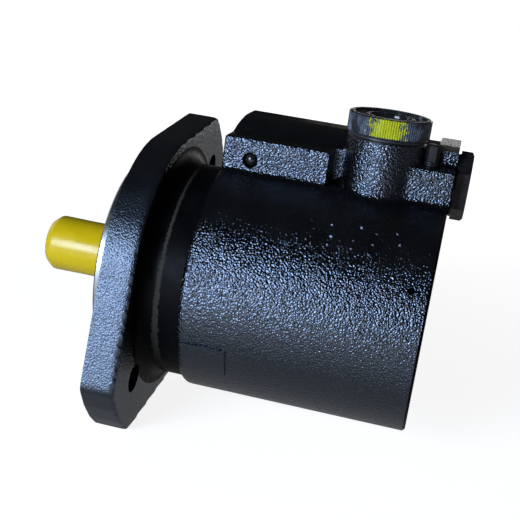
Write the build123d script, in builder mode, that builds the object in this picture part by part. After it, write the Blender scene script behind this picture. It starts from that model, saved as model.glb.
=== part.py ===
from build123d import *
from math import acos, cos, degrees, pi, radians, sin
import os

os.makedirs("parts", exist_ok=True)

# The shaft lies on X. The mounting face is at x = 0, the shaft points to -X and the
# closed rear end to +X. The inlet port points up, +Z. All sizes are millimetres.

# Mounting flange: two-bolt, with a round pilot
pilot_radius = 41.25
pilot_length = 6.4
pilot_chamfer = 0.6
flange_thickness = 13.0
flange_disc_radius = 53.0
flange_edge_round = 1.2
ear_end_radius = 70.5
ear_half_angle = 13.0
ear_angle = 41.0
ear_corner_round = 3.5
bolt_circle_radius = 53.2
bolt_hole_radius = 5.55

# Barrel and its neck behind the flange
neck_radius = 43.4
neck_fillet = 5.6
barrel_radius = 45.9
barrel_start = 28.8
barrel_shoulder = 1.6
rear_face = 117.8
rear_edge_round = 1.0
pad_start = 31.0
pad_length = 17.0
pad_height = 0.7
pad_root = 1.0
pad_angle = 198.0
pad_sweep = 17.0

# Valve block cast along the top of the barrel
ledge_near = -6.5
ledge_top = 58.9
ledge_far = 31.0
block_foot = 30.0
bar_near = 7.3
bar_top = 65.0
bar_far = 28.5
bar_set_back = 0.4
bar_slope = 2.6
bar_slope_foot = 1.0
block_round = 1.8
plug_seat_start = 108.8
plug_seat_near = 5.8
plug_seat_top = 66.6
plug_seat_round = 1.2

# Valve bore inside the block
valve_y = 15.0
valve_z = 50.6
valve_bore_radius = 7.5
valve_bore_start = 36.0
valve_thread_radius = 9.0
valve_thread_length = 10.0
valve_mouth_chamfer = 2.0

# Inlet boss and port, on top
inlet_x = 90.0
inlet_y = 4.6
inlet_boss_radius = 15.1
inlet_boss_top = 66.5
inlet_boss_chamfer = 0.8
inlet_thread_radius = 13.0
inlet_thread_length = 7.0
inlet_pocket_radius = 11.0
inlet_pocket_depth = 9.0
suction_drill_radius = 4.4
suction_drill_y = 0.8
suction_drill_x = 65.0
suction_drill_tilt = 40.0
suction_drill_length = 26.0

# Outlet boss and port, on the far side
outlet_x = 66.0
outlet_z = 47.0
outlet_boss_radius = 13.0
outlet_face = 37.0
outlet_thread_radius = 9.0
outlet_thread_length = 12.0
outlet_drill_radius = 3.8

# Small drillings in the housing
gallery_x = 40.0
gallery_z = 50.4
gallery_radius = 2.75
tap_x = 108.2
tap_y = 2.6
tap_hole_radius = 2.0
tap_hole_depth = 7.0
pressure_drill_x = 86.5
pressure_drill_radius = 2.5
bypass_drill_x = 62.0
bypass_drill_radius = 3.5
punch_hole_radius = 1.3
punch_hole_angle = 152.0
drill_overrun = 2.0
cut_overrun = 1.0

# Bores along the shaft
seal_bore_radius = 19.0
seal_bore_end = 3.6
web_radius = 16.0
bearing_bore_radius = 26.0
bearing_start = 8.0
bearing_width = 15.0
chamber_start = 32.0
chamber_radius = 37.0
chamber_mouth_chamfer = 1.5
wire_centre = 110.7
wire_radius = 1.3
wire_gap_arc = 14.0

# Shaft
shaft_tip = -38.1
spline_teeth = 11
spline_tip_radius = 9.525
spline_root_radius = 8.1
spline_end = -13.0
spline_tip_half_angle = 5.0
spline_root_half_angle = 10.4
tip_chamfer = 1.2
relief_radius = 8.0
journal_start = -8.0
journal_radius = 11.0
journal_chamfer = 1.0
collar_start = 4.6
collar_radius = 14.6
seat_radius = 12.5
drum_radius = 12.2
rotor_seat_radius = 9.5
rotor_seat_root_radius = 8.3
rotor_seat_teeth = 12
rotor_seat_tip_half_angle = 4.5
rotor_seat_root_half_angle = 9.0
tail_radius = 7.6
tail_end = 81.0
tail_chamfer = 1.0

# Circlips on the bearing
circlip_width = 1.5
circlip_gap_arc = 40.0
circlip_groove_depth = 1.2
circlip_depth = 2.8

# Ball bearing
ball_count = 9
ball_radius = 3.97
race_clearance = 0.05
inner_shoulder_drop = 2.25
outer_shoulder_rise = 2.35
cage_inner_drop = 0.95
cage_outer_rise = 1.05
cage_width = 10.0
cage_pocket_depth = 6.0
cage_pocket_clearance = 0.15

# Pumping group between the chamber floor and the rear cover
suction_gap = 3.0
front_plate_length = 11.0
cam_length = 26.0
rear_plate_length = 13.0
plate_bore_clearance = 0.5
cam_major_radius = 25.0
cam_minor_radius = 22.2
rotor_radius = 22.0
side_clearance = 0.03
vane_count = 10
vane_thickness = 1.8
vane_height = 8.6
vane_tip_radius = 22.1
vane_start_angle = 9.0
vane_tip_chamfer = 0.45
slot_clearance = 0.02
slot_play = 0.6
slot_relief_radius = 1.4
kidney_inner_radius = 19.6
kidney_outer_radius = 24.2
kidney_depth = 4.0
kidney_sweep = 44.0
suction_kidney_angle = 40.0
pressure_kidney_angle = 130.0
dowel_radius = 2.0
dowel_inset = 4.5
dowel_angle = 90.0
dowel_floor_depth = 4.0
dowel_plate_depth = 8.0
bush_outer_radius = 10.4
bush_recess = 1.0
running_clearance = 0.04
press_clearance = 0.02

# Static seals: round cord in square grooves
cord_radius = 1.2
groove_width = 3.2
groove_clearance = 0.03
plate_seal_offset = 6.0
cover_seal_offset = 5.0

# Rear cover and the spring that pushes on the rear plate
cover_start = 92.0
cover_fit = 0.08
cover_rim_end = 109.3
cover_hub_radius = 30.5
cover_hub_end = 113.6
cover_hub_chamfer = 1.6
cover_dish_radius = 23.0
cover_dish_depth = 2.4
cover_pocket_radius = 21.0
cover_pocket_depth = 4.0
plate_spring_radius = 17.5
plate_spring_wire = 1.5
plate_spring_turns = 2.5

# Shaft seal
seal_length = 7.8
seal_wall = 1.0
seal_lip_hole = 13.5
lip_dust_edge = 0.4
lip_bond_height = 2.6
lip_bond_thickness = 1.0
lip_neck_step = 0.4
lip_front_gap = 1.2
lip_chamfer = 1.2
lip_edge_from_end = 2.6
lip_waist = 0.9
garter_radius = 0.8

# Flow-control valve
spool_start = 58.0
spool_length = 34.0
spool_clearance = 0.03
ring_groove_starts = (7.0, 23.0, 27.0)
ring_groove_depth = 1.2
ring_groove_length = 1.0
spool_waist_start = 11.0
spool_waist_length = 6.0
spool_waist_radius = 5.0
spool_hole_radius = 3.3
spool_hole_depth = 24.0
valve_spring_wire = 0.75
valve_spring_radius = 5.4
valve_spring_turns = 7.0
relief_seat_length = 6.0
relief_seat_hole = 1.1
poppet_gap = 0.1
poppet_cone = 2.0
poppet_length = 6.0
poppet_stem_radius = 1.2
poppet_stem_length = 2.0
relief_spring_wire = 0.35
relief_spring_radius = 2.2
relief_spring_turns = 5.0

# Hexagon plug that closes the valve bore
plug_nose_radius = 5.6
plug_nose_run = 1.0
plug_groove_radius = 8.2
plug_groove_length = 2.4
plug_collar_radius = 12.4
plug_collar_length = 1.2
plug_across_flats = 24.0
plug_hex_length = 4.8
plug_hex_chamfer = 1.4
plug_hex_chamfer_depth = 0.84
plug_cord_radius = 0.74
plug_dimple_radius = 5.5
plug_dimple_depth = 0.8

# Pressed ball and tap plug
ball_plug_recess = 0.5
ball_plug_clearance = 0.05
tap_washer_radius = 3.0
tap_washer_thickness = 0.8
tap_across_flats = 5.0
tap_hex_height = 6.2
tap_collar_height = 1.0
tap_collar_radius = 2.9
tap_stub_gap = 1.0

# Plastic plug in the inlet port
inlet_washer_radius = 15.3
inlet_washer_thickness = 1.1
inlet_plug_radius = 15.9
inlet_plug_top = 75.2
inlet_plug_wall = 2.0
inlet_plug_edge = 0.5
inlet_plug_recess = 1.8
inlet_plug_ring_radius = 9.6
inlet_plug_ring_wall = 1.6
inlet_plug_ring_drop = 0.6
inlet_plug_socket_radius = 5.2
inlet_plug_socket_depth = 6.5
inlet_stub_length = 5.6
inlet_stub_chamfer = 0.6
cap_clearance = 0.08

# Plastic cap over the shaft
cap_radius = 11.45
cap_end = -41.4
cap_mouth = -8.4
cap_end_chamfer = 3.0
cap_end_land = 2.2
cap_bore_end = -38.6

group_radius = chamber_radius - suction_gap
dowel_circle_radius = group_radius - dowel_inset
cam_start = chamber_start + front_plate_length
cam_end = cam_start + cam_length
rear_plate_end = cam_end + rear_plate_length
bearing_end = bearing_start + bearing_width
ball_pitch_radius = (seat_radius + bearing_bore_radius) / 2
inner_shoulder_radius = ball_pitch_radius - inner_shoulder_drop
outer_shoulder_radius = ball_pitch_radius + outer_shoulder_rise
cage_inner_radius = ball_pitch_radius - cage_inner_drop
cage_outer_radius = ball_pitch_radius + cage_outer_rise
ring_gap = 0.05


def radial_plane(angle, y=0.0, z=0.0):
    """Plane through a line along X, with its second axis pointing out at an angle from +Y."""
    turn = radians(angle)
    return Plane(origin=(0, y, z), x_dir=(1, 0, 0), z_dir=(0, -sin(turn), cos(turn)))


def turned_face(points, y=0.0, z=0.0):
    """Half profile for a turned piece: each point is (place along X, radius)."""
    with BuildSketch(radial_plane(90, y, z)) as profile:
        with BuildLine():
            Polyline(*points, close=True)
        make_face()
    return profile.sketch


def ring_face(start, end, inner, outer, y=0.0, z=0.0):
    """Half profile of a plain ring between two places along X and two radii."""
    corners = [(start, inner), (end, inner), (end, outer), (start, outer)]
    return turned_face(corners, y, z)


def spline_points(teeth, root, tip, root_half, tip_half, growth=0.0):
    """Corners of a toothed outline, grown outwards by a clearance."""
    corners = []
    for tooth in range(teeth):
        middle = tooth * 360 / teeth
        for radius, side in ((root, -root_half), (tip, -tip_half), (tip, tip_half), (root, root_half)):
            angle = radians(middle + side)
            corners.append(((radius + growth) * cos(angle), (radius + growth) * sin(angle)))
    return corners


def coil_spring(start, length, radius, wire, turns, y=0.0, z=0.0):
    """Open-ended coil spring along X: its wire's centre line starts at x = start."""
    with BuildPart() as spring:
        with BuildLine() as path:
            Helix(length / turns, length, radius, center=(start, y, z), direction=(1, 0, 0))
        with BuildSketch(Plane(origin=path.line @ 0, z_dir=path.line % 0)):
            Circle(wire)
        sweep(is_frenet=True)
    return spring.part


def save(name, part):
    """Write one named sub-part to its own STEP file."""
    part.label = name
    export_step(part, f"parts/{name}.step")


# --- Housing ---------------------------------------------------------------------------
# One iron casting: flange, pilot, neck, barrel, valve block and both port bosses.
ear_turn = radians(ear_angle)
flange_plane = Plane(origin=(0, 0, 0), x_dir=(0, cos(ear_turn), sin(ear_turn)), z_dir=(1, 0, 0))
side_angle = ear_half_angle + degrees(acos(flange_disc_radius / ear_end_radius))


def polar(radius, angle):
    """Point at a radius and an angle in degrees."""
    return (radius * cos(radians(angle)), radius * sin(radians(angle)))


with BuildPart() as housing:
    with BuildSketch(flange_plane):
        with BuildLine():
            for turn in (0, 180):
                low = polar(ear_end_radius, turn - ear_half_angle)
                tip = polar(ear_end_radius, turn)
                high = polar(ear_end_radius, turn + ear_half_angle)
                side_start = polar(flange_disc_radius, turn + side_angle)
                side_middle = polar(flange_disc_radius, turn + 90)
                side_end = polar(flange_disc_radius, turn + 180 - side_angle)
                next_low = polar(ear_end_radius, turn + 180 - ear_half_angle)
                ThreePointArc(low, tip, high)
                Line(high, side_start)
                ThreePointArc(side_start, side_middle, side_end)
                Line(side_end, next_low)
        make_face()
    extrude(amount=flange_thickness)
    ear_corners = housing.edges().filter_by(Axis.X).group_by(lambda edge: edge.center().length)[-1]
    fillet(ear_corners, ear_corner_round)
    back_rim = housing.faces().sort_by(Axis.X)[-1]
    fillet(back_rim.edges(), flange_edge_round)

    # Pilot, neck and barrel, turned as one outline
    neck_top = (flange_thickness, neck_radius + neck_fillet)
    neck_swing = neck_fillet * (1 - sin(radians(45)))
    neck_middle = (flange_thickness + neck_swing, neck_radius + neck_swing)
    neck_foot = (flange_thickness + neck_fillet, neck_radius)
    with BuildSketch(radial_plane(90)):
        with BuildLine():
            Polyline((rear_face, 0), (-pilot_length, 0),
                     (-pilot_length, pilot_radius - pilot_chamfer),
                     (-pilot_length + pilot_chamfer, pilot_radius),
                     (flange_thickness / 2, pilot_radius), neck_top)
            ThreePointArc(neck_top, neck_middle, neck_foot)
            Polyline(neck_foot, (barrel_start, neck_radius),
                     (barrel_start, barrel_radius - barrel_shoulder),
                     (barrel_start + barrel_shoulder, barrel_radius),
                     (rear_face - rear_edge_round, barrel_radius),
                     (rear_face, barrel_radius - rear_edge_round), (rear_face, 0))
        make_face()
    revolve(axis=Axis.X)

    # Bare raised pad low on the near side of the barrel
    with BuildSketch(radial_plane(pad_angle)):
        with Locations((pad_start + pad_length / 2, barrel_radius - pad_root)):
            Rectangle(pad_length, 2 * (pad_root + pad_height))
    revolve(axis=Axis.X, revolution_arc=pad_sweep)

    # Valve block: a ledge on the near side and a taller bar behind it
    block_length = rear_face - barrel_start
    with BuildSketch(Plane.YZ.offset(barrel_start)):
        with BuildLine():
            Polyline((ledge_near, block_foot), (ledge_near, ledge_top), (ledge_far, ledge_top),
                     (ledge_far, block_foot), close=True)
        make_face()
    block = extrude(amount=block_length)
    fillet(block.edges().filter_by(Axis.X).group_by(Axis.Z)[-1], block_round)
    with BuildSketch(Plane.XZ.offset(-bar_near)):
        with BuildLine():
            Polyline((barrel_start + bar_set_back, block_foot),
                     (barrel_start + bar_set_back, ledge_top - bar_slope_foot),
                     (barrel_start + bar_slope, bar_top), (rear_face, bar_top),
                     (rear_face, block_foot), close=True)
        make_face()
    bar = extrude(amount=-(bar_far - bar_near))
    bar_rim = bar.faces().sort_by(Axis.Z)[-1].edges().sort_by(Axis.X)
    fillet(bar_rim[:-1], block_round)
    with BuildSketch(Plane.XY.offset(block_foot)):
        with Locations(((plug_seat_start + rear_face) / 2, (plug_seat_near + bar_far) / 2)):
            Rectangle(rear_face - plug_seat_start, bar_far - plug_seat_near)
    plug_seat = extrude(amount=plug_seat_top - block_foot)
    seat_rim = plug_seat.faces().sort_by(Axis.Z)[-1].edges().sort_by(Axis.X)
    fillet(seat_rim[:-1], plug_seat_round)

    # Inlet boss on top and outlet boss on the far side
    with BuildSketch(Plane.XY.offset(block_foot)):
        with Locations((inlet_x, inlet_y)):
            Circle(inlet_boss_radius)
    inlet_boss = extrude(amount=inlet_boss_top - block_foot)
    chamfer(inlet_boss.faces().sort_by(Axis.Z)[-1].edges(), inlet_boss_chamfer)
    with BuildSketch(Plane.XZ.offset(-valve_y)):
        with Locations((outlet_x, outlet_z)):
            Circle(outlet_boss_radius)
    extrude(amount=-(outlet_face - valve_y))

    # Bores along the shaft: seal, bearing with its circlip groove, chamber with its wire groove
    groove_start = bearing_end + ring_gap
    groove_end = groove_start + circlip_width + ring_gap
    groove_radius = bearing_bore_radius + circlip_groove_depth
    wire_groove = wire_radius + ring_gap
    revolve(turned_face([
        (-pilot_length - cut_overrun, 0),
        (-pilot_length - cut_overrun, seal_bore_radius),
        (seal_bore_end, seal_bore_radius),
        (seal_bore_end, web_radius),
        (bearing_start, web_radius),
        (bearing_start, bearing_bore_radius),
        (groove_start, bearing_bore_radius),
        (groove_start, groove_radius),
        (groove_end, groove_radius),
        (groove_end, bearing_bore_radius),
        (chamber_start, bearing_bore_radius),
        (chamber_start, chamber_radius),
        (wire_centre - wire_groove, chamber_radius),
        (wire_centre - wire_groove, chamber_radius + wire_groove),
        (wire_centre + wire_groove, chamber_radius + wire_groove),
        (wire_centre + wire_groove, chamber_radius),
        (rear_face - chamber_mouth_chamfer, chamber_radius),
        (rear_face + cut_overrun, chamber_radius + chamber_mouth_chamfer + cut_overrun),
        (rear_face + cut_overrun, 0),
    ]), axis=Axis.X, mode=Mode.SUBTRACT)

    # Valve bore, its thread and the chamfer that holds the plug's seal
    thread_start = rear_face - valve_thread_length
    revolve(turned_face([
        (valve_bore_start, 0),
        (valve_bore_start, valve_bore_radius),
        (thread_start, valve_bore_radius),
        (thread_start, valve_thread_radius),
        (rear_face - valve_mouth_chamfer, valve_thread_radius),
        (rear_face + cut_overrun, valve_thread_radius + valve_mouth_chamfer + cut_overrun),
        (rear_face + cut_overrun, 0),
    ], valve_y, valve_z), axis=Axis((0, valve_y, valve_z), (1, 0, 0)), mode=Mode.SUBTRACT)

    # Inlet port: thread, pocket that opens into the valve bore, and the drilling to the chamber
    with BuildSketch(Plane.XY.offset(inlet_boss_top)):
        with Locations((inlet_x, inlet_y)):
            Circle(inlet_thread_radius)
    extrude(amount=-inlet_thread_length, mode=Mode.SUBTRACT)
    with BuildSketch(Plane.XY.offset(inlet_boss_top - inlet_thread_length)):
        with Locations((inlet_x, inlet_y)):
            Circle(inlet_pocket_radius)
    extrude(amount=-inlet_pocket_depth, mode=Mode.SUBTRACT)
    tilt = radians(suction_drill_tilt)
    suction_plane = Plane(origin=(suction_drill_x, suction_drill_y, chamber_radius - drill_overrun),
                          x_dir=(0, 1, 0), z_dir=(cos(tilt), 0, sin(tilt)))
    with BuildSketch(suction_plane):
        Circle(suction_drill_radius)
    extrude(amount=suction_drill_length, mode=Mode.SUBTRACT)

    # Outlet port into the valve bore
    with BuildSketch(Plane.XZ.offset(-outlet_face)):
        with Locations((outlet_x, outlet_z)):
            Circle(outlet_thread_radius)
    extrude(amount=outlet_thread_length, mode=Mode.SUBTRACT)
    with BuildSketch(Plane.XZ.offset(-outlet_face)):
        with Locations((outlet_x, outlet_z)):
            Circle(outlet_drill_radius)
    extrude(amount=outlet_face - valve_y, mode=Mode.SUBTRACT)

    # Drillings between the chamber and the valve bore
    for drill_x, drill_radius in ((pressure_drill_x, pressure_drill_radius),
                                  (bypass_drill_x, bypass_drill_radius)):
        with BuildSketch(Plane.XY.offset(block_foot)):
            with Locations((drill_x, valve_y)):
                Circle(drill_radius)
        extrude(amount=valve_z - valve_bore_radius + drill_overrun - block_foot, mode=Mode.SUBTRACT)

    # Sensing hole closed by the pressed ball, and the hole under the tap plug
    with BuildSketch(Plane.XZ.offset(-ledge_near)):
        with Locations((gallery_x, gallery_z)):
            Circle(gallery_radius)
    extrude(amount=ledge_near - valve_y, mode=Mode.SUBTRACT)
    with BuildSketch(Plane.XY.offset(ledge_top)):
        with Locations((tap_x, tap_y)):
            Circle(tap_hole_radius)
    extrude(amount=-tap_hole_depth, mode=Mode.SUBTRACT)

    # Bolt holes, dowel holes in the chamber floor and the punch hole over the wire ring
    with BuildSketch(flange_plane):
        with PolarLocations(bolt_circle_radius, 2):
            Circle(bolt_hole_radius)
    extrude(amount=flange_thickness, mode=Mode.SUBTRACT)
    with BuildSketch(Plane.YZ.offset(chamber_start - dowel_floor_depth)):
        with PolarLocations(dowel_circle_radius, 2, dowel_angle):
            Circle(dowel_radius + press_clearance)
    extrude(amount=dowel_floor_depth, mode=Mode.SUBTRACT)
    punch_turn = radians(punch_hole_angle)
    punch_plane = Plane(origin=(wire_centre, 0, 0), x_dir=(1, 0, 0),
                        z_dir=(0, cos(punch_turn), sin(punch_turn)))
    with BuildSketch(punch_plane.offset(chamber_radius)):
        Circle(punch_hole_radius)
    extrude(amount=barrel_radius - chamber_radius + cut_overrun, mode=Mode.SUBTRACT)
save("housing", housing.part)

# --- Shaft -----------------------------------------------------------------------------
# Turned steel with a toothed drive end and a toothed seat for the rotor.
with BuildPart() as drive_shaft:
    with BuildSketch(Plane.YZ.offset(shaft_tip)):
        Polygon(*spline_points(spline_teeth, spline_root_radius, spline_tip_radius,
                               spline_root_half_angle, spline_tip_half_angle), align=None)
    extrude(amount=spline_end - shaft_tip)
    revolve(turned_face([
        (shaft_tip - cut_overrun, spline_tip_radius - tip_chamfer - cut_overrun),
        (shaft_tip + tip_chamfer, spline_tip_radius),
        (shaft_tip + tip_chamfer, spline_tip_radius + cut_overrun),
        (shaft_tip - cut_overrun, spline_tip_radius + cut_overrun),
    ]), axis=Axis.X, mode=Mode.SUBTRACT)
    revolve(turned_face([
        (spline_end, 0),
        (spline_end, relief_radius),
        (journal_start, relief_radius),
        (journal_start, journal_radius - journal_chamfer),
        (journal_start + journal_chamfer, journal_radius),
        (collar_start, journal_radius),
        (collar_start, collar_radius),
        (bearing_start, collar_radius),
        (bearing_start, seat_radius),
        (bearing_end + ring_gap, seat_radius),
        (bearing_end + ring_gap, seat_radius - circlip_groove_depth),
        (bearing_end + circlip_width + 2 * ring_gap, seat_radius - circlip_groove_depth),
        (bearing_end + circlip_width + 2 * ring_gap, drum_radius),
        (cam_start - side_clearance, drum_radius),
        (cam_start - side_clearance, 0),
    ]), axis=Axis.X)
    with BuildSketch(Plane.YZ.offset(cam_start - side_clearance)):
        Polygon(*spline_points(rotor_seat_teeth, rotor_seat_root_radius, rotor_seat_radius,
                               rotor_seat_root_half_angle, rotor_seat_tip_half_angle), align=None)
    extrude(amount=cam_length + side_clearance)
    revolve(turned_face([
        (cam_end, 0),
        (cam_end, tail_radius),
        (tail_end - tail_chamfer, tail_radius),
        (tail_end, tail_radius - tail_chamfer),
        (tail_end, 0),
    ]), axis=Axis.X)
save("drive_shaft", drive_shaft.part)

# --- Shaft seal ------------------------------------------------------------------------
# Steel case pressed in the pilot, rubber lip bonded to it, garter spring round the lip.
seal_start = seal_bore_end - seal_length
seal_outer = seal_bore_radius - press_clearance
with BuildPart() as seal_case:
    revolve(turned_face([
        (seal_start, seal_lip_hole),
        (seal_start + seal_wall, seal_lip_hole),
        (seal_start + seal_wall, seal_outer - seal_wall),
        (seal_bore_end, seal_outer - seal_wall),
        (seal_bore_end, seal_outer),
        (seal_start, seal_outer),
    ]), axis=Axis.X)
save("seal_case", seal_case.part)

lip_contact = journal_radius + running_clearance
lip_back = seal_start + seal_wall
lip_neck = lip_back + lip_bond_thickness
lip_front = seal_bore_end - lip_front_gap
lip_edge = seal_bore_end - lip_edge_from_end
garter_seat = seal_lip_hole - garter_radius / 2
with BuildPart() as seal_lip:
    revolve(turned_face([
        (seal_start, lip_contact + lip_dust_edge),
        (seal_start, seal_lip_hole),
        (lip_back, seal_lip_hole),
        (lip_back, seal_lip_hole + lip_bond_height),
        (lip_neck, seal_lip_hole + lip_bond_height),
        (lip_neck + lip_neck_step, garter_seat),
        (lip_front, garter_seat),
        (lip_front, lip_contact + lip_chamfer),
        (lip_edge, lip_contact),
        (lip_neck, lip_contact + lip_waist),
        (seal_start + lip_dust_edge, lip_contact),
    ]), axis=Axis.X)
save("seal_lip", seal_lip.part)

with BuildPart() as garter_spring:
    with BuildSketch(Plane.XZ):
        with Locations((lip_edge, garter_seat + garter_radius)):
            Circle(garter_radius)
    revolve(axis=Axis.X)
save("garter_spring", garter_spring.part)

# --- Ball bearing ----------------------------------------------------------------------
race_radius = ball_radius + race_clearance
bearing_middle = bearing_start + bearing_width / 2
race_cut = (bearing_middle, ball_pitch_radius)
race_sizes = (("bearing_outer_ring", outer_shoulder_radius, bearing_bore_radius - press_clearance),
              ("bearing_inner_ring", seat_radius + press_clearance, inner_shoulder_radius))
for ring_name, ring_inner, ring_outer in race_sizes:
    with BuildPart() as race:
        revolve(ring_face(bearing_start, bearing_end, ring_inner, ring_outer), axis=Axis.X)
        with BuildSketch(Plane.XZ):
            with Locations(race_cut):
                Circle(race_radius)
        revolve(axis=Axis.X, mode=Mode.SUBTRACT)
    save(ring_name, race.part)

with BuildPart(Plane.YZ.offset(bearing_middle)) as bearing_balls:
    with PolarLocations(ball_pitch_radius, ball_count):
        Sphere(ball_radius)
save("bearing_balls", bearing_balls.part)

with BuildPart(Plane.YZ.offset(bearing_middle)) as bearing_cage:
    Cylinder(cage_outer_radius, cage_width)
    Cylinder(cage_inner_radius, cage_width, mode=Mode.SUBTRACT)
    with PolarLocations(ball_pitch_radius, ball_count):
        Cylinder(ball_radius + cage_pocket_clearance, cage_pocket_depth, rotation=(0, 90, 0),
                 mode=Mode.SUBTRACT)
save("bearing_cage", bearing_cage.part)

# Spring-steel circlips: one holds the outer ring in the housing, one the shaft in the bearing
circlip_start = bearing_end + ring_gap
housing_circlip_outer = bearing_bore_radius + circlip_groove_depth - ring_gap
shaft_circlip_inner = seat_radius - circlip_groove_depth + ring_gap
circlip_sizes = (("housing_circlip", housing_circlip_outer - circlip_depth, housing_circlip_outer),
                 ("shaft_circlip", shaft_circlip_inner, shaft_circlip_inner + circlip_depth))
for ring_name, ring_inner, ring_outer in circlip_sizes:
    with BuildPart() as circlip:
        circlip_end = circlip_start + circlip_width
        revolve(ring_face(circlip_start, circlip_end, ring_inner, ring_outer), axis=Axis.X,
                revolution_arc=360 - circlip_gap_arc)
    save(ring_name, circlip.part)

# --- Pumping group ---------------------------------------------------------------------
# Two ported side plates, the oval cam ring between them and the slotted rotor with its vanes.
dowel_hole = dowel_radius + press_clearance


def side_plate(start, length, outer, bore, ported_face, dowel_from, dowel_depth):
    """Flat ported plate; ported_face is +1 where the kidneys face the rear, -1 the front."""
    with BuildPart() as plate:
        revolve(ring_face(start, start + length, bore, outer), axis=Axis.X)
        kidney_start = start + length - kidney_depth if ported_face > 0 else start
        for kidney_angle in (suction_kidney_angle, pressure_kidney_angle):
            for half_turn in (0, 180):
                with BuildSketch(radial_plane(kidney_angle + half_turn - kidney_sweep / 2)):
                    with Locations((kidney_start + kidney_depth / 2,
                                    (kidney_inner_radius + kidney_outer_radius) / 2)):
                        Rectangle(kidney_depth, kidney_outer_radius - kidney_inner_radius)
                revolve(axis=Axis.X, revolution_arc=kidney_sweep, mode=Mode.SUBTRACT)
        with BuildSketch(Plane.YZ.offset(dowel_from)):
            with PolarLocations(dowel_circle_radius, 2, dowel_angle):
                Circle(dowel_hole)
        extrude(amount=dowel_depth, mode=Mode.SUBTRACT)
    return plate.part


plate_bore_radius = drum_radius + plate_bore_clearance
save("front_side_plate", side_plate(chamber_start, front_plate_length, group_radius, plate_bore_radius,
                                    1, chamber_start, front_plate_length))

with BuildPart() as cam_ring:
    with BuildSketch(Plane.YZ.offset(cam_start)):
        Circle(group_radius)
        Ellipse(cam_major_radius, cam_minor_radius, mode=Mode.SUBTRACT)
        with PolarLocations(dowel_circle_radius, 2, dowel_angle):
            Circle(dowel_hole, mode=Mode.SUBTRACT)
    extrude(amount=cam_length)
save("cam_ring", cam_ring.part)

rear_plate_outer = chamber_radius - cover_fit
with BuildPart() as rear_side_plate:
    add(side_plate(cam_end, rear_plate_length, rear_plate_outer, bush_outer_radius + press_clearance,
                   -1, cam_end, dowel_plate_depth))
    cord_groove = cam_end + plate_seal_offset
    cord_floor = chamber_radius - 2 * cord_radius - 2 * groove_clearance
    revolve(ring_face(cord_groove, cord_groove + groove_width, cord_floor, chamber_radius),
            axis=Axis.X, mode=Mode.SUBTRACT)
save("rear_side_plate", rear_side_plate.part)

with BuildPart() as dowel_pins:
    dowel_start = chamber_start - dowel_floor_depth
    with BuildSketch(Plane.YZ.offset(dowel_start)):
        with PolarLocations(dowel_circle_radius, 2, dowel_angle):
            Circle(dowel_radius)
    extrude(amount=cam_end + dowel_plate_depth - dowel_start)
save("dowel_pins", dowel_pins.part)

with BuildPart() as shaft_bush:
    revolve(ring_face(cam_end, rear_plate_end - bush_recess, tail_radius + running_clearance,
                      bush_outer_radius), axis=Axis.X)
save("shaft_bush", shaft_bush.part)

rotor_start = cam_start + side_clearance
rotor_length = cam_length - 2 * side_clearance
slot_bottom = vane_tip_radius - vane_height - slot_play
slot_length = rotor_radius + cut_overrun - slot_bottom
with BuildPart() as rotor:
    with BuildSketch(Plane.YZ.offset(rotor_start)):
        Circle(rotor_radius)
        Polygon(*spline_points(rotor_seat_teeth, rotor_seat_root_radius, rotor_seat_radius,
                               rotor_seat_root_half_angle, rotor_seat_tip_half_angle, ring_gap),
                align=None, mode=Mode.SUBTRACT)
        with PolarLocations(slot_bottom + slot_length / 2, vane_count, vane_start_angle):
            Rectangle(slot_length, vane_thickness + 2 * slot_clearance, mode=Mode.SUBTRACT)
        with PolarLocations(slot_bottom, vane_count, vane_start_angle):
            Circle(slot_relief_radius, mode=Mode.SUBTRACT)
    extrude(amount=rotor_length)
save("rotor", rotor.part)

for number in range(vane_count):
    vane_angle = vane_start_angle + number * 360 / vane_count
    with BuildPart(radial_plane(vane_angle)) as vane:
        with Locations((cam_start + cam_length / 2, vane_tip_radius - vane_height / 2)):
            Box(rotor_length, vane_height, vane_thickness)
        tip_edges = vane.edges().filter_by(Axis.X).group_by(lambda edge: edge.center().length)[-1]
        chamfer(tip_edges, vane_tip_chamfer)
    save(f"vane_{number + 1:02d}", vane.part)

# --- Rear cover ------------------------------------------------------------------------
# Steel cover held by a wire ring, sealed by a cord, pushing the plates together by a spring.
cover_outer = chamber_radius - cover_fit
cover_cord_start = cover_start + cover_seal_offset
wire_seat = chamber_radius - wire_radius
with BuildPart() as rear_cover:
    revolve(turned_face([
        (cover_start, cover_pocket_radius),
        (cover_start, cover_outer),
        (cover_cord_start, cover_outer),
        (cover_cord_start, cord_floor),
        (cover_cord_start + groove_width, cord_floor),
        (cover_cord_start + groove_width, cover_outer),
        (cover_rim_end, cover_outer),
        (cover_rim_end, cover_hub_radius),
        (cover_hub_end - cover_hub_chamfer, cover_hub_radius),
        (cover_hub_end, cover_hub_radius - cover_hub_chamfer),
        (cover_hub_end, cover_dish_radius),
        (cover_hub_end - cover_dish_depth, cover_dish_radius - cover_dish_depth),
        (cover_hub_end - cover_dish_depth, 0),
        (cover_start + cover_pocket_depth, 0),
        (cover_start + cover_pocket_depth, cover_pocket_radius),
    ]), axis=Axis.X)
save("rear_cover", rear_cover.part)

cord_centre = chamber_radius - groove_clearance - cord_radius
for cord_name, cord_x in (("rear_plate_cord", cord_groove + groove_width / 2),
                          ("rear_cover_cord", cover_cord_start + groove_width / 2)):
    with BuildPart() as cord:
        with BuildSketch(Plane.XZ):
            with Locations((cord_x, cord_centre)):
                Circle(cord_radius)
        revolve(axis=Axis.X)
    save(cord_name, cord.part)

with BuildPart() as retaining_ring:
    with BuildSketch(radial_plane(punch_hole_angle + 90 + wire_gap_arc)):
        with Locations((wire_centre, chamber_radius)):
            Circle(wire_radius)
    revolve(axis=Axis.X, revolution_arc=360 - 2 * wire_gap_arc)
save("retaining_ring", retaining_ring.part)

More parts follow.
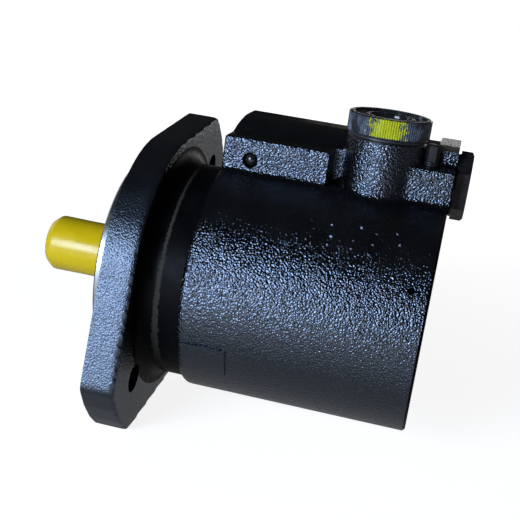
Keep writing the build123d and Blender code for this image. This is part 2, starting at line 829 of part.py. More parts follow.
plate_spring_room = cover_start + cover_pocket_depth - rear_plate_end
plate_spring_length = plate_spring_room - 2 * plate_spring_wire - 2 * ring_gap
save("plate_spring", coil_spring(rear_plate_end + plate_spring_wire + ring_gap, plate_spring_length,
                                 plate_spring_radius, plate_spring_wire, plate_spring_turns))

# --- Flow-control valve ----------------------------------------------------------------
# Ground spool with a small relief valve inside, its spring, and the hexagon plug behind it.
valve_axis = Axis((0, valve_y, valve_z), (1, 0, 0))
spool_radius = valve_bore_radius - spool_clearance
spool_end = spool_start + spool_length
with BuildPart() as flow_spool:
    spool_grooves = [(start, ring_groove_length, spool_radius - ring_groove_depth)
                     for start in ring_groove_starts]
    spool_grooves.append((spool_waist_start, spool_waist_length, spool_waist_radius))
    spool_profile = [(spool_start, spool_hole_radius), (spool_start, spool_radius)]
    for groove_offset, groove_run, groove_floor in sorted(spool_grooves):
        groove_from = spool_start + groove_offset
        groove_to = groove_from + groove_run
        spool_profile += [(groove_from, spool_radius), (groove_from, groove_floor),
                          (groove_to, groove_floor), (groove_to, spool_radius)]
    spool_profile += [(spool_end, spool_radius), (spool_end, 0),
                      (spool_start + spool_hole_depth, 0),
                      (spool_start + spool_hole_depth, spool_hole_radius)]
    revolve(turned_face(spool_profile, valve_y, valve_z), axis=valve_axis)
save("flow_spool", flow_spool.part)

valve_spring_room = spool_start - valve_bore_start
save("flow_spring", coil_spring(valve_bore_start + valve_spring_wire + ring_gap,
                                valve_spring_room - 2 * valve_spring_wire - 2 * ring_gap,
                                valve_spring_radius, valve_spring_wire, valve_spring_turns,
                                valve_y, valve_z))

relief_radius_outer = spool_hole_radius - press_clearance
relief_seat_end = spool_start + relief_seat_length
with BuildPart() as relief_seat:
    revolve(ring_face(spool_start + ring_gap, relief_seat_end, relief_seat_hole, relief_radius_outer,
                      valve_y, valve_z), axis=valve_axis)
save("relief_seat", relief_seat.part)

poppet_tip = relief_seat_end + poppet_gap
poppet_shoulder = poppet_tip + poppet_cone
poppet_end = poppet_shoulder + poppet_length
poppet_radius = spool_hole_radius - running_clearance
with BuildPart() as relief_poppet:
    revolve(turned_face([
        (poppet_tip, 0),
        (poppet_shoulder, poppet_cone),
        (poppet_shoulder, poppet_radius),
        (poppet_end, poppet_radius),
        (poppet_end, poppet_stem_radius),
        (poppet_end + poppet_stem_length, poppet_stem_radius),
        (poppet_end + poppet_stem_length, 0),
    ], valve_y, valve_z), axis=valve_axis)
save("relief_poppet", relief_poppet.part)

relief_spring_start = poppet_end + relief_spring_wire + ring_gap
relief_spring_room = spool_start + spool_hole_depth - relief_spring_start
save("relief_spring", coil_spring(relief_spring_start,
                                  relief_spring_room - relief_spring_wire - ring_gap,
                                  relief_spring_radius, relief_spring_wire, relief_spring_turns,
                                  valve_y, valve_z))

plug_stub_radius = valve_thread_radius - running_clearance
plug_hex_start = rear_face + plug_collar_length
plug_hex_end = plug_hex_start + plug_hex_length
plug_corner_radius = plug_across_flats / 2 / cos(pi / 6)
with BuildPart() as valve_plug:
    with BuildSketch(Plane.YZ.offset(plug_hex_start)):
        with Locations((valve_y, valve_z)):
            RegularPolygon(plug_across_flats / 2, 6, major_radius=False, rotation=30)
    extrude(amount=plug_hex_length)
    revolve(turned_face([
        (plug_hex_end - plug_hex_chamfer_depth, plug_corner_radius),
        (plug_hex_end, plug_corner_radius - plug_hex_chamfer),
        (plug_hex_end + cut_overrun, plug_corner_radius - plug_hex_chamfer),
        (plug_hex_end + cut_overrun, plug_corner_radius + cut_overrun),
        (plug_hex_end - plug_hex_chamfer_depth, plug_corner_radius + cut_overrun),
    ], valve_y, valve_z), axis=valve_axis, mode=Mode.SUBTRACT)
    revolve(turned_face([
        (plug_hex_end - plug_dimple_depth, 0),
        (plug_hex_end - plug_dimple_depth, plug_dimple_radius),
        (plug_hex_end + cut_overrun, plug_dimple_radius + cut_overrun),
        (plug_hex_end + cut_overrun, 0),
    ], valve_y, valve_z), axis=valve_axis, mode=Mode.SUBTRACT)
    revolve(turned_face([
        (spool_end, 0),
        (spool_end, plug_nose_radius),
        (thread_start + plug_nose_run, plug_nose_radius),
        (thread_start + plug_nose_run, plug_stub_radius),
        (rear_face - plug_groove_length, plug_stub_radius),
        (rear_face - plug_groove_length, plug_groove_radius),
        (rear_face, plug_groove_radius),
        (rear_face, plug_collar_radius),
        (plug_hex_start, plug_collar_radius),
        (plug_hex_start, 0),
    ], valve_y, valve_z), axis=valve_axis)
save("valve_plug", valve_plug.part)

plug_cord_reach = plug_cord_radius + ring_gap
with BuildPart() as valve_plug_cord:
    with BuildSketch(radial_plane(90, valve_y, valve_z)):
        with Locations((rear_face - plug_cord_reach, plug_groove_radius + plug_cord_reach)):
            Circle(plug_cord_radius)
    revolve(axis=valve_axis)
save("valve_plug_cord", valve_plug_cord.part)

# --- Small plugs -----------------------------------------------------------------------
with BuildPart() as gallery_ball:
    ball_size = gallery_radius - ball_plug_clearance
    with Locations((gallery_x, ledge_near + ball_plug_recess + ball_size, gallery_z)):
        Sphere(ball_size)
save("gallery_ball", gallery_ball.part)

with BuildPart() as tap_washer:
    with BuildSketch(Plane.XY.offset(ledge_top)):
        with Locations((tap_x, tap_y)):
            Circle(tap_washer_radius)
            Circle(tap_hole_radius, mode=Mode.SUBTRACT)
    extrude(amount=tap_washer_thickness)
save("tap_washer", tap_washer.part)

with BuildPart() as tap_plug:
    tap_seat = ledge_top + tap_washer_thickness
    with BuildSketch(Plane.XY.offset(tap_seat)):
        with Locations((tap_x, tap_y)):
            Circle(tap_collar_radius)
    extrude(amount=tap_collar_height)
    with BuildSketch(Plane.XY.offset(tap_seat + tap_collar_height)):
        with Locations((tap_x, tap_y)):
            RegularPolygon(tap_across_flats / 2, 6, major_radius=False)
    extrude(amount=tap_hex_height)
    with BuildSketch(Plane.XY.offset(tap_seat)):
        with Locations((tap_x, tap_y)):
            Circle(tap_hole_radius - press_clearance)
    extrude(amount=-(tap_hole_depth - tap_stub_gap))
save("tap_plug", tap_plug.part)

# --- Inlet plug and shaft cap ----------------------------------------------------------
# Black moulded plug screwed in the inlet port on its washer, and a soft cap on the shaft.
inlet_head_bottom = inlet_boss_top + inlet_washer_thickness
inlet_axis = Axis((inlet_x, inlet_y, 0), (0, 0, 1))
inlet_plane = Plane(origin=(inlet_x, inlet_y, 0), x_dir=(1, 0, 0), z_dir=(0, -1, 0))
inlet_stub_radius = inlet_thread_radius - cap_clearance
with BuildPart() as inlet_washer:
    with BuildSketch(Plane.XY.offset(inlet_boss_top)):
        with Locations((inlet_x, inlet_y)):
            Circle(inlet_washer_radius)
            Circle(inlet_thread_radius, mode=Mode.SUBTRACT)
    extrude(amount=inlet_washer_thickness)
save("inlet_washer", inlet_washer.part)

recess_floor = inlet_plug_top - inlet_plug_recess
ring_top = inlet_plug_top - inlet_plug_ring_drop
inlet_stub_end = inlet_boss_top - inlet_stub_length
with BuildPart() as inlet_plug:
    with BuildSketch(inlet_plane):
        with BuildLine():
            Polyline(
                (0, inlet_plug_top - inlet_plug_socket_depth),
                (inlet_plug_socket_radius, inlet_plug_top - inlet_plug_socket_depth),
                (inlet_plug_socket_radius, recess_floor),
                (inlet_plug_ring_radius - inlet_plug_ring_wall, recess_floor),
                (inlet_plug_ring_radius - inlet_plug_ring_wall, ring_top),
                (inlet_plug_ring_radius, ring_top),
                (inlet_plug_ring_radius, recess_floor),
                (inlet_plug_radius - inlet_plug_wall, recess_floor),
                (inlet_plug_radius - inlet_plug_wall, inlet_plug_top),
                (inlet_plug_radius - inlet_plug_edge, inlet_plug_top),
                (inlet_plug_radius, inlet_plug_top - inlet_plug_edge),
                (inlet_plug_radius, inlet_head_bottom),
                (inlet_stub_radius, inlet_head_bottom),
                (inlet_stub_radius, inlet_stub_end + inlet_stub_chamfer),
                (inlet_stub_radius - inlet_stub_chamfer, inlet_stub_end),
                (0, inlet_stub_end),
                close=True)
        make_face()
    revolve(axis=inlet_axis)
save("inlet_plug", inlet_plug.part)

cap_bore_radius = spline_tip_radius + cap_clearance
with BuildPart() as shaft_cap:
    revolve(turned_face([
        (cap_end, 0),
        (cap_end, cap_radius - cap_end_land),
        (cap_end + cap_end_chamfer, cap_radius),
        (cap_mouth, cap_radius),
        (cap_mouth, cap_bore_radius),
        (cap_bore_end, cap_bore_radius),
        (cap_bore_end, 0),
    ]), axis=Axis.X)
save("shaft_cap", shaft_cap.part)
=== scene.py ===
import bmesh
import bpy
from math import acos, atan2, cos, pi, radians, sin, tan
from mathutils import Matrix, Vector
from random import Random


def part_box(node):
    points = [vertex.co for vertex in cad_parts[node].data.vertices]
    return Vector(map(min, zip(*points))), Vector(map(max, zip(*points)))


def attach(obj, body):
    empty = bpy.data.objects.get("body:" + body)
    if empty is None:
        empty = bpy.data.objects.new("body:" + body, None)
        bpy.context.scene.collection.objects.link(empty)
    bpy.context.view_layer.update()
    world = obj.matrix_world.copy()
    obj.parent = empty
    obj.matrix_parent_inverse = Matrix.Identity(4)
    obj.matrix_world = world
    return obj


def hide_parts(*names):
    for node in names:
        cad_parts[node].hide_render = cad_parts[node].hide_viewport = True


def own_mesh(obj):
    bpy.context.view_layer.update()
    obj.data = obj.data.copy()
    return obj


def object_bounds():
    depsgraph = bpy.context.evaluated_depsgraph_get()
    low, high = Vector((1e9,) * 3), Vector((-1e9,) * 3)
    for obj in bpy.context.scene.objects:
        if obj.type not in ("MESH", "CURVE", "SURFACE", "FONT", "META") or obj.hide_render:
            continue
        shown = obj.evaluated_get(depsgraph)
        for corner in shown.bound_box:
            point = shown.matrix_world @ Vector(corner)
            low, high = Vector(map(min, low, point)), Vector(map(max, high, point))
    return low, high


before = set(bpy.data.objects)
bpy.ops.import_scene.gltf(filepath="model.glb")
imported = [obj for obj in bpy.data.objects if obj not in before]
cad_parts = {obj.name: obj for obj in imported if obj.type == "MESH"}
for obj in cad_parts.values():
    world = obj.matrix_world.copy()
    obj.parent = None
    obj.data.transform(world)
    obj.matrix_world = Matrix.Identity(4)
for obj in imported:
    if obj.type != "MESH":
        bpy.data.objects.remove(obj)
cad_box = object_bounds()

# The shaft lies on X and points to -X; the closed rear end is at +X and the inlet is on top.
# All sizes are metres. Each section below is one piece, in the order of assembly.

scene = bpy.context.scene
scene.view_settings.view_transform = "Standard"


# --- Floor, backdrop light and camera ----------------------------------------------------
# The pump stands on a white sweep. A large cool soft box in front lights the flange and the
# lower flank, and three weak warm ones at the sides and low behind open up the shadows.
floor_level = cad_box[0][2]
floor_reach = 9.0
floor_roughness = 0.7
floor_tone, mirrored_floor_tone = 0.60, 0.12
near_glow, far_glow = 0.86, 1.0
glow_start, glow_end = 0.1, 0.7
near_sweep, far_sweep = 0.22, 0.10
sweep_start, sweep_end = 0.22, 0.45
card_middle = (0.04, -0.36, floor_level)
card_half = (0.16, 0.255, 1)
card_fade_start, card_fade_end = 0.85, 1.1
horizon_white = 0.12
horizon_start, horizon_end = 0.02, 0.08
room_light = 0.015
cool_white = (0.64, 0.78, 1.0)
warm_white = (1.0, 0.98, 0.95)
front_target, fill_target = (0.04, 0, 0.01), (0.05, 0, 0.01)


def feed(socket, value):
    """Gives an input a plain value, or links another node's output to it."""
    if isinstance(value, bpy.types.NodeSocket):
        socket.id_data.links.new(value, socket)
    else:
        socket.default_value = value


def node(tree, kind, family="ShaderNode", **values):
    """A node: small letters name a setting, capitals name an input and what feeds it."""
    made = tree.nodes.new(family + kind)
    for name, value in values.items():
        if name[0].islower():
            setattr(made, name, value)
        else:
            feed(made.inputs[name.replace("_", " ")], value)
    return made


def shader(name, **values):
    """A new material with its node tree and its Principled shader, whose named inputs are set."""
    material = bpy.data.materials.new(name)
    material.use_nodes = True
    tree = material.node_tree
    principled = tree.nodes["Principled BSDF"]
    for key, value in values.items():
        feed(principled.inputs[key.replace("_", " ")], value)
    return material, tree, principled


def own_place(tree):
    """The object's own coordinates."""
    return node(tree, "TexCoord").outputs["Object"]


def combined(tree, operation, *values):
    """One number from one or two others, by a Math node."""
    made = node(tree, "Math", operation=operation)
    for socket, value in zip(made.inputs, values):
        feed(socket, value)
    return made.outputs[0]


def ramp(tree, value, start, end, low, high):
    """Maps a value from start..end to low..high, held at both ends."""
    return node(tree, "MapRange", Value=value, From_Min=start, From_Max=end,
                To_Min=low, To_Max=high).outputs["Result"]


def rays(tree, *kinds):
    """1 for the named kinds of ray, else 0."""
    paths = node(tree, "LightPath")
    found = paths.outputs[kinds[0]]
    for kind in kinds[1:]:
        found = combined(tree, "MAXIMUM", found, paths.outputs[kind])
    return found


def soft_box(name, place, target, width, height, power, colour):
    """A rectangular lamp at a place, facing a target point."""
    lamp = bpy.data.lights.new(name, "AREA")
    lamp.shape = "RECTANGLE"
    lamp.size = width
    lamp.size_y = height
    lamp.energy = power
    lamp.color = colour
    holder = bpy.data.objects.new(name, lamp)
    scene.collection.objects.link(holder)
    holder.location = place
    holder.rotation_euler = (Vector(target) - Vector(place)).to_track_quat("-Z", "Y").to_euler()


floor_corners = [(across * floor_reach, deep * floor_reach, floor_level)
                 for across, deep in ((-1, -1), (1, -1), (1, 1), (-1, 1))]
floor_mesh = bpy.data.meshes.new("floor")
floor_mesh.from_pydata(floor_corners, [], [(0, 1, 2, 3)])
floor = bpy.data.objects.new("floor", floor_mesh)
scene.collection.objects.link(floor)

# The floor glows white to the camera, a little less near the pump. Mirrored rays see it painted darker;
# they and refracted rays see a dim glow and a white card in front of the pump that glows only for them,
# a painted reflection on the pump's lower side
floor_finish, floor_tree, floor_paint = shader("floor_paint", Roughness=floor_roughness)
tone = ramp(floor_tree, rays(floor_tree, "Is Glossy Ray"), 0, 1, floor_tone, mirrored_floor_tone)
paper = node(floor_tree, "CombineColor", Red=tone, Green=tone, Blue=tone)
feed(floor_paint.inputs["Base Color"], paper.outputs[0])
floor_place = own_place(floor_tree)
away = node(floor_tree, "VectorMath", operation="LENGTH", Vector=floor_place).outputs["Value"]
card = node(floor_tree, "Mapping", vector_type="TEXTURE", Vector=floor_place, Location=card_middle,
            Scale=card_half)
card_sides = node(floor_tree, "VectorMath", operation="ABSOLUTE", Vector=card.outputs["Vector"])
card_edges = node(floor_tree, "SeparateXYZ", Vector=card_sides.outputs["Vector"]).outputs
card_white = ramp(floor_tree, combined(floor_tree, "MAXIMUM", card_edges["X"], card_edges["Y"]),
                  card_fade_start, card_fade_end, 1, 0)
sweep_white = ramp(floor_tree, away, sweep_start, sweep_end, near_sweep, far_sweep)
seen_glow = combined(floor_tree, "MULTIPLY", rays(floor_tree, "Is Camera Ray"),
                     ramp(floor_tree, away, glow_start, glow_end, near_glow, far_glow))
mirrored_glow = combined(floor_tree, "MULTIPLY",
                         rays(floor_tree, "Is Glossy Ray", "Is Transmission Ray"),
                         combined(floor_tree, "MAXIMUM", card_white, sweep_white))
whole_glow = combined(floor_tree, "MAXIMUM", seen_glow, mirrored_glow)
glow = node(floor_tree, "Emission", Strength=whole_glow)
lit_floor = node(floor_tree, "AddShader")
feed(lit_floor.inputs[0], floor_paint.outputs[0])
feed(lit_floor.inputs[1], glow.outputs[0])
feed(floor_tree.nodes["Material Output"].inputs["Surface"], lit_floor.outputs[0])
floor_mesh.materials.append(floor_finish)

# The world is white to the camera. Mirrored and refracted rays see a dim white band along the
# horizon under a dark room
world = bpy.data.worlds.new("studio")
scene.world = world
world.use_nodes = True
sky = world.node_tree
sky_place = node(sky, "TexCoord").outputs["Generated"]
sky_height = node(sky, "SeparateXYZ", Vector=sky_place).outputs["Z"]
low_white = combined(sky, "MULTIPLY", rays(sky, "Is Glossy Ray", "Is Transmission Ray"),
                     ramp(sky, sky_height, horizon_start, horizon_end, horizon_white, room_light))
shown_white = combined(sky, "MAXIMUM", rays(sky, "Is Camera Ray"), low_white)
backdrop = sky.nodes["Background"]
feed(backdrop.inputs["Color"], (1, 1, 1, 1))
feed(backdrop.inputs["Strength"], ramp(sky, shown_white, 0, 1, room_light, 1))

soft_box("key_box", (-0.33, -0.75, 0.19), front_target, 0.40, 0.38, 7.6, cool_white)
soft_box("right_fill", (0.95, 0.45, 0.25), fill_target, 0.8, 0.5, 0.25, warm_white)
soft_box("left_fill", (-0.80, 0.50, 0.22), fill_target, 0.6, 0.4, 0.6, warm_white)
soft_box("back_fill", (0.25, 0.85, 0.07), fill_target, 0.7, 0.2, 0.45, warm_white)

lens = bpy.data.cameras.new("lens")
lens.lens = 65.8
lens.sensor_width = 36
lens.clip_start = 0.01
camera = bpy.data.objects.new("camera", lens)
scene.collection.objects.link(camera)
camera.location = (0.11787, -0.36141, 0.12313)
camera.rotation_euler = (radians(72.668), radians(-7.565), radians(13.277))
scene.camera = camera


# --- Housing -----------------------------------------------------------------------------
# One iron sand casting: flange, pilot, neck, barrel, valve block and port bosses. It is cast
# with stock on its machined faces, fettled, bored and faced, then sprayed with black enamel.
housing_low, housing_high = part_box("housing")
# Flange with its pilot and two ears, then the neck and the barrel
rear_face = housing_high[0]
pilot_length = -housing_low[0]
pilot_radius = 0.04125
pilot_chamfer = 0.0006
flange_thickness = 0.013
flange_disc_radius = 0.053
ear_end_radius = 0.0705
ear_half_angle = radians(13)
ear_angles = (radians(41), radians(41) + pi)
ear_corner_round = 0.0035
bolt_circle_radius = 0.0532
bolt_hole_radius = 0.00555
neck_radius = 0.0434
neck_cast_radius = 0.0442
neck_line = 0.0197
neck_fillet = 0.0056
barrel_radius = 0.0459
barrel_start = 0.0288
barrel_shoulder = 0.0012
rear_edge = 0.001
rear_edge_start, rear_edge_sweep = radians(101), radians(304)
# Raised pad low on the barrel's flank
pad_start = 0.031
pad_length = 0.017
pad_height = 0.0007
pad_angle = radians(198)
pad_sweep = radians(17)
# Valve block: a low ledge, a higher bar behind it with a rounded crown, and the tap plug's seat
ledge_near = -0.0065
ledge_far = 0.031
ledge_top = 0.0589
block_foot = 0.030
bar_near = 0.0073
bar_far = 0.0285
bar_top = 0.065
bar_slope = 0.0026
crown_radius = 0.020
crown_foot = radians(45)
notch_start = 0.0700
notch_depth = 0.0085
seat_start = 0.1088
seat_near = 0.0058
seat_top = housing_high[2]
# Scabs left on the barrel, in rows round it and columns along it
scab_rows, scab_columns = 3, 5
scab_start, scab_pitch = 0.070, 0.0085
scab_angle, scab_step = radians(42), radians(6)
least_scab, most_scab = 0.0008, 0.0015
scab_scatter = 0.25
# Inlet and outlet ports
inlet_x, inlet_y = 0.090, 0.0046
inlet_centre = (inlet_x, inlet_y, 0)
inlet_boss_radius = 0.0151
inlet_boss_top = 0.0665
inlet_thread_radius = 0.013
inlet_thread_end = 0.0595
inlet_pocket_radius = 0.011
inlet_pocket_end = 0.0505
outlet_x, outlet_z = 0.066, 0.047
outlet_centre = (outlet_x, 0, outlet_z)
outlet_boss_radius = 0.013
outlet_face = 0.037
outlet_thread_radius = 0.009
outlet_thread_end = 0.025
outlet_drill_radius = 0.0038
port_thread_depth = 0.0006
boss_chamfer = 0.0008
# Valve bore, with the sensing hole and the tap hole in the block
valve_y, valve_z = 0.015, 0.0506
valve_centre = (0, valve_y, valve_z)
valve_bore_radius = 0.0075
valve_bore_start = 0.036
valve_thread_radius = 0.009
valve_thread_length = 0.010
valve_chamfer = 0.002
ball_x, ball_z = 0.040, 0.0504
ball_hole_radius = 0.00275
ball_chamfer = 0.0003
tap_x, tap_y = 0.1082, 0.0026
tap_centre = (tap_x, tap_y, 0)
tap_hole_radius = 0.002
tap_hole_depth = 0.007
tap_spot_radius = 0.0032
# Bores on the shaft's line, from the seal to the mouth, and the retaining wire's punch hole
seal_bore_radius = 0.019
seal_bore_end = 0.0036
web_radius = 0.016
bearing_bore_radius = 0.026
bearing_start = 0.008
clip_start, clip_end = 0.02305, 0.0246
clip_radius = 0.0272
chamber_radius = 0.037
chamber_start = 0.032
mouth_chamfer = 0.0015
wire_x = 0.1107
wire_groove = 0.00135
punch_angle = radians(152)
punch_radius = 0.0013
# Drilled passages and dowel holes
suction_start = Vector((0.065, 0.0008, 0.035))
suction_tilt = radians(40)
suction_radius = 0.0044
suction_length = 0.026
pressure_x, pressure_radius = 0.0865, 0.0025
bypass_x, bypass_radius = 0.062, 0.0035
dowel_circle_radius = 0.0295
dowel_hole_radius = 0.00202
dowel_start = 0.028
# Enamel: beads of sand under it, and a thin lighter, duller line round the neck that is wider at the bottom
bead_scale, bead_depth, bead_wander = 1300.0, 0.00038, 0.0007
fine_grain_depth = 0.00012
behind_flange = flange_thickness - 0.0006
block_low, block_high = 0.036, 0.040
neck_mark_low, neck_mark_high = -0.045, 0.03
neck_mark_wide, neck_mark_narrow = 0.0018, 0.0006
# Fineness of the cast form, metal left on faces that are cut, and the cutters' reach past them
grain = 0.001
stock = 0.0015
skim = 0.0003
overrun = 0.001
face_clear, side_clear = 0.004, 0.003
end_clear = 0.01
swing_clear = 0.09
block_clear = 0.08


def mesh_of(name, points, faces, weld=1e-7):
    """A mesh from points and faces, with doubled points merged and its faces turned outwards."""
    mesh = bpy.data.meshes.new(name)
    mesh.from_pydata(points, [], faces)
    work = bmesh.new()
    work.from_mesh(mesh)
    bmesh.ops.remove_doubles(work, verts=work.verts, dist=weld)
    wires = [edge for edge in work.edges if not edge.link_faces]
    bmesh.ops.delete(work, geom=wires, context="EDGES")
    bmesh.ops.recalc_face_normals(work, faces=work.faces)
    work.to_mesh(mesh)
    work.free()
    return mesh


def placed(name, mesh):
    """An object at the origin that shows a mesh."""
    piece = bpy.data.objects.new(name, mesh)
    scene.collection.objects.link(piece)
    return piece


def turned(name, outline, segments=96, centre=(0, 0, 0), axis="X", start=0.0, sweep=2 * pi):
    """A closed outline of (place along the axis, radius) turned about X, Y or Z through a centre."""
    whole = sweep == 2 * pi
    steps = segments if whole else segments + 1
    points = []
    for step in range(steps):
        angle = start + sweep * step / segments
        for along, radius in outline:
            across, up = radius * cos(angle), radius * sin(angle)
            spot = {"X": (along, across, up), "Y": (up, along, across), "Z": (across, up, along)}[axis]
            points.append(tuple(a + b for a, b in zip(spot, centre)))
    count = len(outline)
    faces = []
    for step in range(segments):
        here, there = step * count, (step + 1) % steps * count
        for first in range(count):
            after = (first + 1) % count
            faces.append((here + first, here + after, there + after, there + first))
    if not whole:
        faces.append(tuple(range(count)))
        faces.append(tuple(range((steps - 1) * count, steps * count)))
    return mesh_of(name, points, faces)


def prism(name, outline, low, high, axis):
    """A flat outline carried along X, Y or Z from low to high; its points are the other two axes."""
    count = len(outline)
    points = []
    for level in (low, high):
        for first, second in outline:
            points.append({"X": (level, first, second), "Y": (first, level, second),
                           "Z": (first, second, level)}[axis])
    faces = [tuple(range(count)), tuple(range(count, 2 * count))]
    for first in range(count):
        after = (first + 1) % count
        faces.append((first, after, count + after, count + first))
    return mesh_of(name, points, faces)


def rectangle(left, bottom, right, top):
    """The corners of a rectangle, as an outline."""
    return [(left, bottom), (right, bottom), (right, top), (left, top)]


def arc(centre, radius, start, end, steps=12):
    """Points on an arc, both ends included."""
    turn = (end - start) / steps
    return [(centre[0] + radius * cos(start + turn * step),
             centre[1] + radius * sin(start + turn * step)) for step in range(steps + 1)]


def rounded(corners, steps=6):
    """A closed outline whose corners (x, y, radius) are rounded where the radius isn't 0."""
    outline = []
    count = len(corners)
    for number, (across, up, radius) in enumerate(corners):
        here = Vector((across, up))
        before = (Vector(corners[number - 1][:2]) - here).normalized()
        after = (Vector(corners[(number + 1) % count][:2]) - here).normalized()
        if radius == 0:
            outline.append(tuple(here))
            continue
        half = before.angle(after) / 2
        centre = here + (before + after).normalized() * radius / sin(half)
        first = here + before * radius / tan(half) - centre
        last = here + after * radius / tan(half) - centre
        start = atan2(first.y, first.x)
        outline += arc(centre, radius, start, start - first.angle_signed(last), steps)
    return outline


def joined(name, meshes):
    """One mesh that holds several."""
    work = bmesh.new()
    for mesh in meshes:
        work.from_mesh(mesh)
    whole = bpy.data.meshes.new(name)
    work.to_mesh(whole)
    work.free()
    return whole


def baked(piece):
    """The piece's mesh becomes what its modifiers make of it."""
    graph = bpy.context.evaluated_depsgraph_get()
    mesh = bpy.data.meshes.new_from_object(piece.evaluated_get(graph))
    piece.modifiers.clear()
    piece.data = mesh


def shaped(piece, operation, tools):
    """Cuts, joins or trims a piece by closed meshes, each with the number of its new faces' finish."""
    shapers = []
    for mesh, finish in tools:
        mesh.materials.clear()
        for material in piece.data.materials:
            mesh.materials.append(material)
        mesh.polygons.foreach_set("material_index", [finish] * len(mesh.polygons))
        tool = placed("shaping_tool", mesh)
        shapers.append(tool)
        step = piece.modifiers.new("shaping", "BOOLEAN")
        step.operation = operation
        step.solver = "MANIFOLD"
        step.object = tool
    baked(piece)
    for tool in shapers:
        bpy.data.objects.remove(tool)


def crisp(piece, sliver=2e-6, sharpest=radians(32)):
    """Smooth shading with sharp machined edges, once the slivers that the cuts left are gone."""
    work = bmesh.new()
    work.from_mesh(piece.data)
    bmesh.ops.dissolve_degenerate(work, dist=sliver, edges=work.edges)
    work.to_mesh(piece.data)
    work.free()
    piece.data.shade_smooth()
    piece.data.set_sharp_from_angle(angle=sharpest)


def spread(tree, value, low, high):
    """Maps the middle of a texture's range, 0.3 to 0.7, to low and high."""
    return ramp(tree, value, 0.3, 0.7, low, high)


def noise(tree, scale, detail=2.0, roughness=0.5, stretch=(1, 1, 1)):
    """Noise on the object's own coordinates, stretched if asked."""
    drawn_out = node(tree, "Mapping", Vector=own_place(tree), Scale=stretch)
    return node(tree, "TexNoise", Vector=drawn_out.outputs["Vector"], Scale=scale, Detail=detail,
                Roughness=roughness).outputs["Fac"]


def turning_marks(tree, scale, centre=(0, 0, 0)):
    """Fine rings left by a turning tool: noise read by place along X and distance from its axis."""
    shift = node(tree, "Mapping", Vector=own_place(tree), Location=[-value for value in centre])
    parts = node(tree, "SeparateXYZ", Vector=shift.outputs["Vector"]).outputs
    flat = node(tree, "CombineXYZ", X=parts["Y"], Y=parts["Z"])
    reach = node(tree, "VectorMath", operation="LENGTH", Vector=flat.outputs["Vector"])
    pair = node(tree, "CombineXYZ", X=reach.outputs["Value"], Y=parts["X"])
    return node(tree, "TexNoise", Vector=pair.outputs["Vector"], Scale=scale, Detail=3.0,
                Roughness=0.6).outputs["Fac"]


def colour_mix(tree, factor, low, high):
    """A colour between two, by a factor; each is three numbers or another node's output."""
    low, high = ((*colour, 1) if isinstance(colour, tuple) else colour for colour in (low, high))
    return node(tree, "Mix", data_type="RGBA", Factor=factor, A=low, B=high).outputs["Result"]


def mottle(principled, pattern, dark, light):
    """The shader's colour wanders between two, by a texture."""
    tree = principled.id_data
    feed(principled.inputs["Base Color"], colour_mix(tree, spread(tree, pattern, 0, 1), dark, light))


def gloss(principled, pattern, smoothest, roughest):
    """The shader's roughness wanders between two, by a texture."""
    feed(principled.inputs["Roughness"], spread(principled.id_data, pattern, smoothest, roughest))


def bump(principled, height, depth, strength=1.0, under=None):
    """Height becomes relief of that depth on the shader's normal, on top of a coarser relief."""
    relief = node(principled.id_data, "Bump", Strength=strength, Distance=depth, Height=height)
    if under:
        feed(relief.inputs["Normal"], under.outputs["Normal"])
    feed(principled.inputs["Normal"], relief.outputs["Normal"])
    return relief


def cast_enamel():
    """Glossy black enamel over sand-cast iron, every grain a bead, with a painted blue tint of cool light
    in its reflections.
    """
    # The blue specular tint is painted light: it puts the cool colour of the light into every reflection
    material, tree, enamel = shader("black_enamel_on_casting", IOR=1.58, Specular_IOR_Level=1.0,
                                    Specular_Tint=(0.62, 0.76, 1.0, 1), Coat_Weight=0.12,
                                    Coat_Roughness=0.1)
    patches = noise(tree, 90, 3.0, 0.6)
    mottle(enamel, patches, (0.0015, 0.0017, 0.0023), (0.0045, 0.0042, 0.0045))
    spot = own_place(tree)
    parts = node(tree, "SeparateXYZ", Vector=spot).outputs
    swirl = node(tree, "TexNoise", Vector=spot, Scale=600.0, Detail=1.0)
    wander = node(tree, "VectorMath", operation="MULTIPLY_ADD", Vector=swirl.outputs["Color"])
    feed(wander.inputs[1], (bead_wander,) * 3)
    feed(wander.inputs[2], spot)
    beads = node(tree, "TexVoronoi", feature="SMOOTH_F1", Vector=wander.outputs["Vector"],
                 Scale=bead_scale, Smoothness=0.3)
    # The skin is flatter and duller on the flange than behind it, and a little rougher on the block
    relief = combined(tree, "MULTIPLY", ramp(tree, parts["Z"], block_low, block_high, 0.67, 0.72),
                      ramp(tree, parts["X"], behind_flange, flange_thickness, 0.42, 1.0))
    coarse = bump(enamel, beads.outputs["Distance"], -bead_depth, relief)
    dullness = ramp(tree, parts["X"], behind_flange, flange_thickness, 0.18, 0)
    feed(enamel.inputs["Roughness"], combined(tree, "ADD", dullness, spread(tree, patches, 0.12, 0.19)))
    fine = bump(enamel, noise(tree, 1900, 1.0, 0.5), fine_grain_depth, under=coarse)
    feed(enamel.inputs["Coat Normal"], fine.outputs["Normal"])
    return material


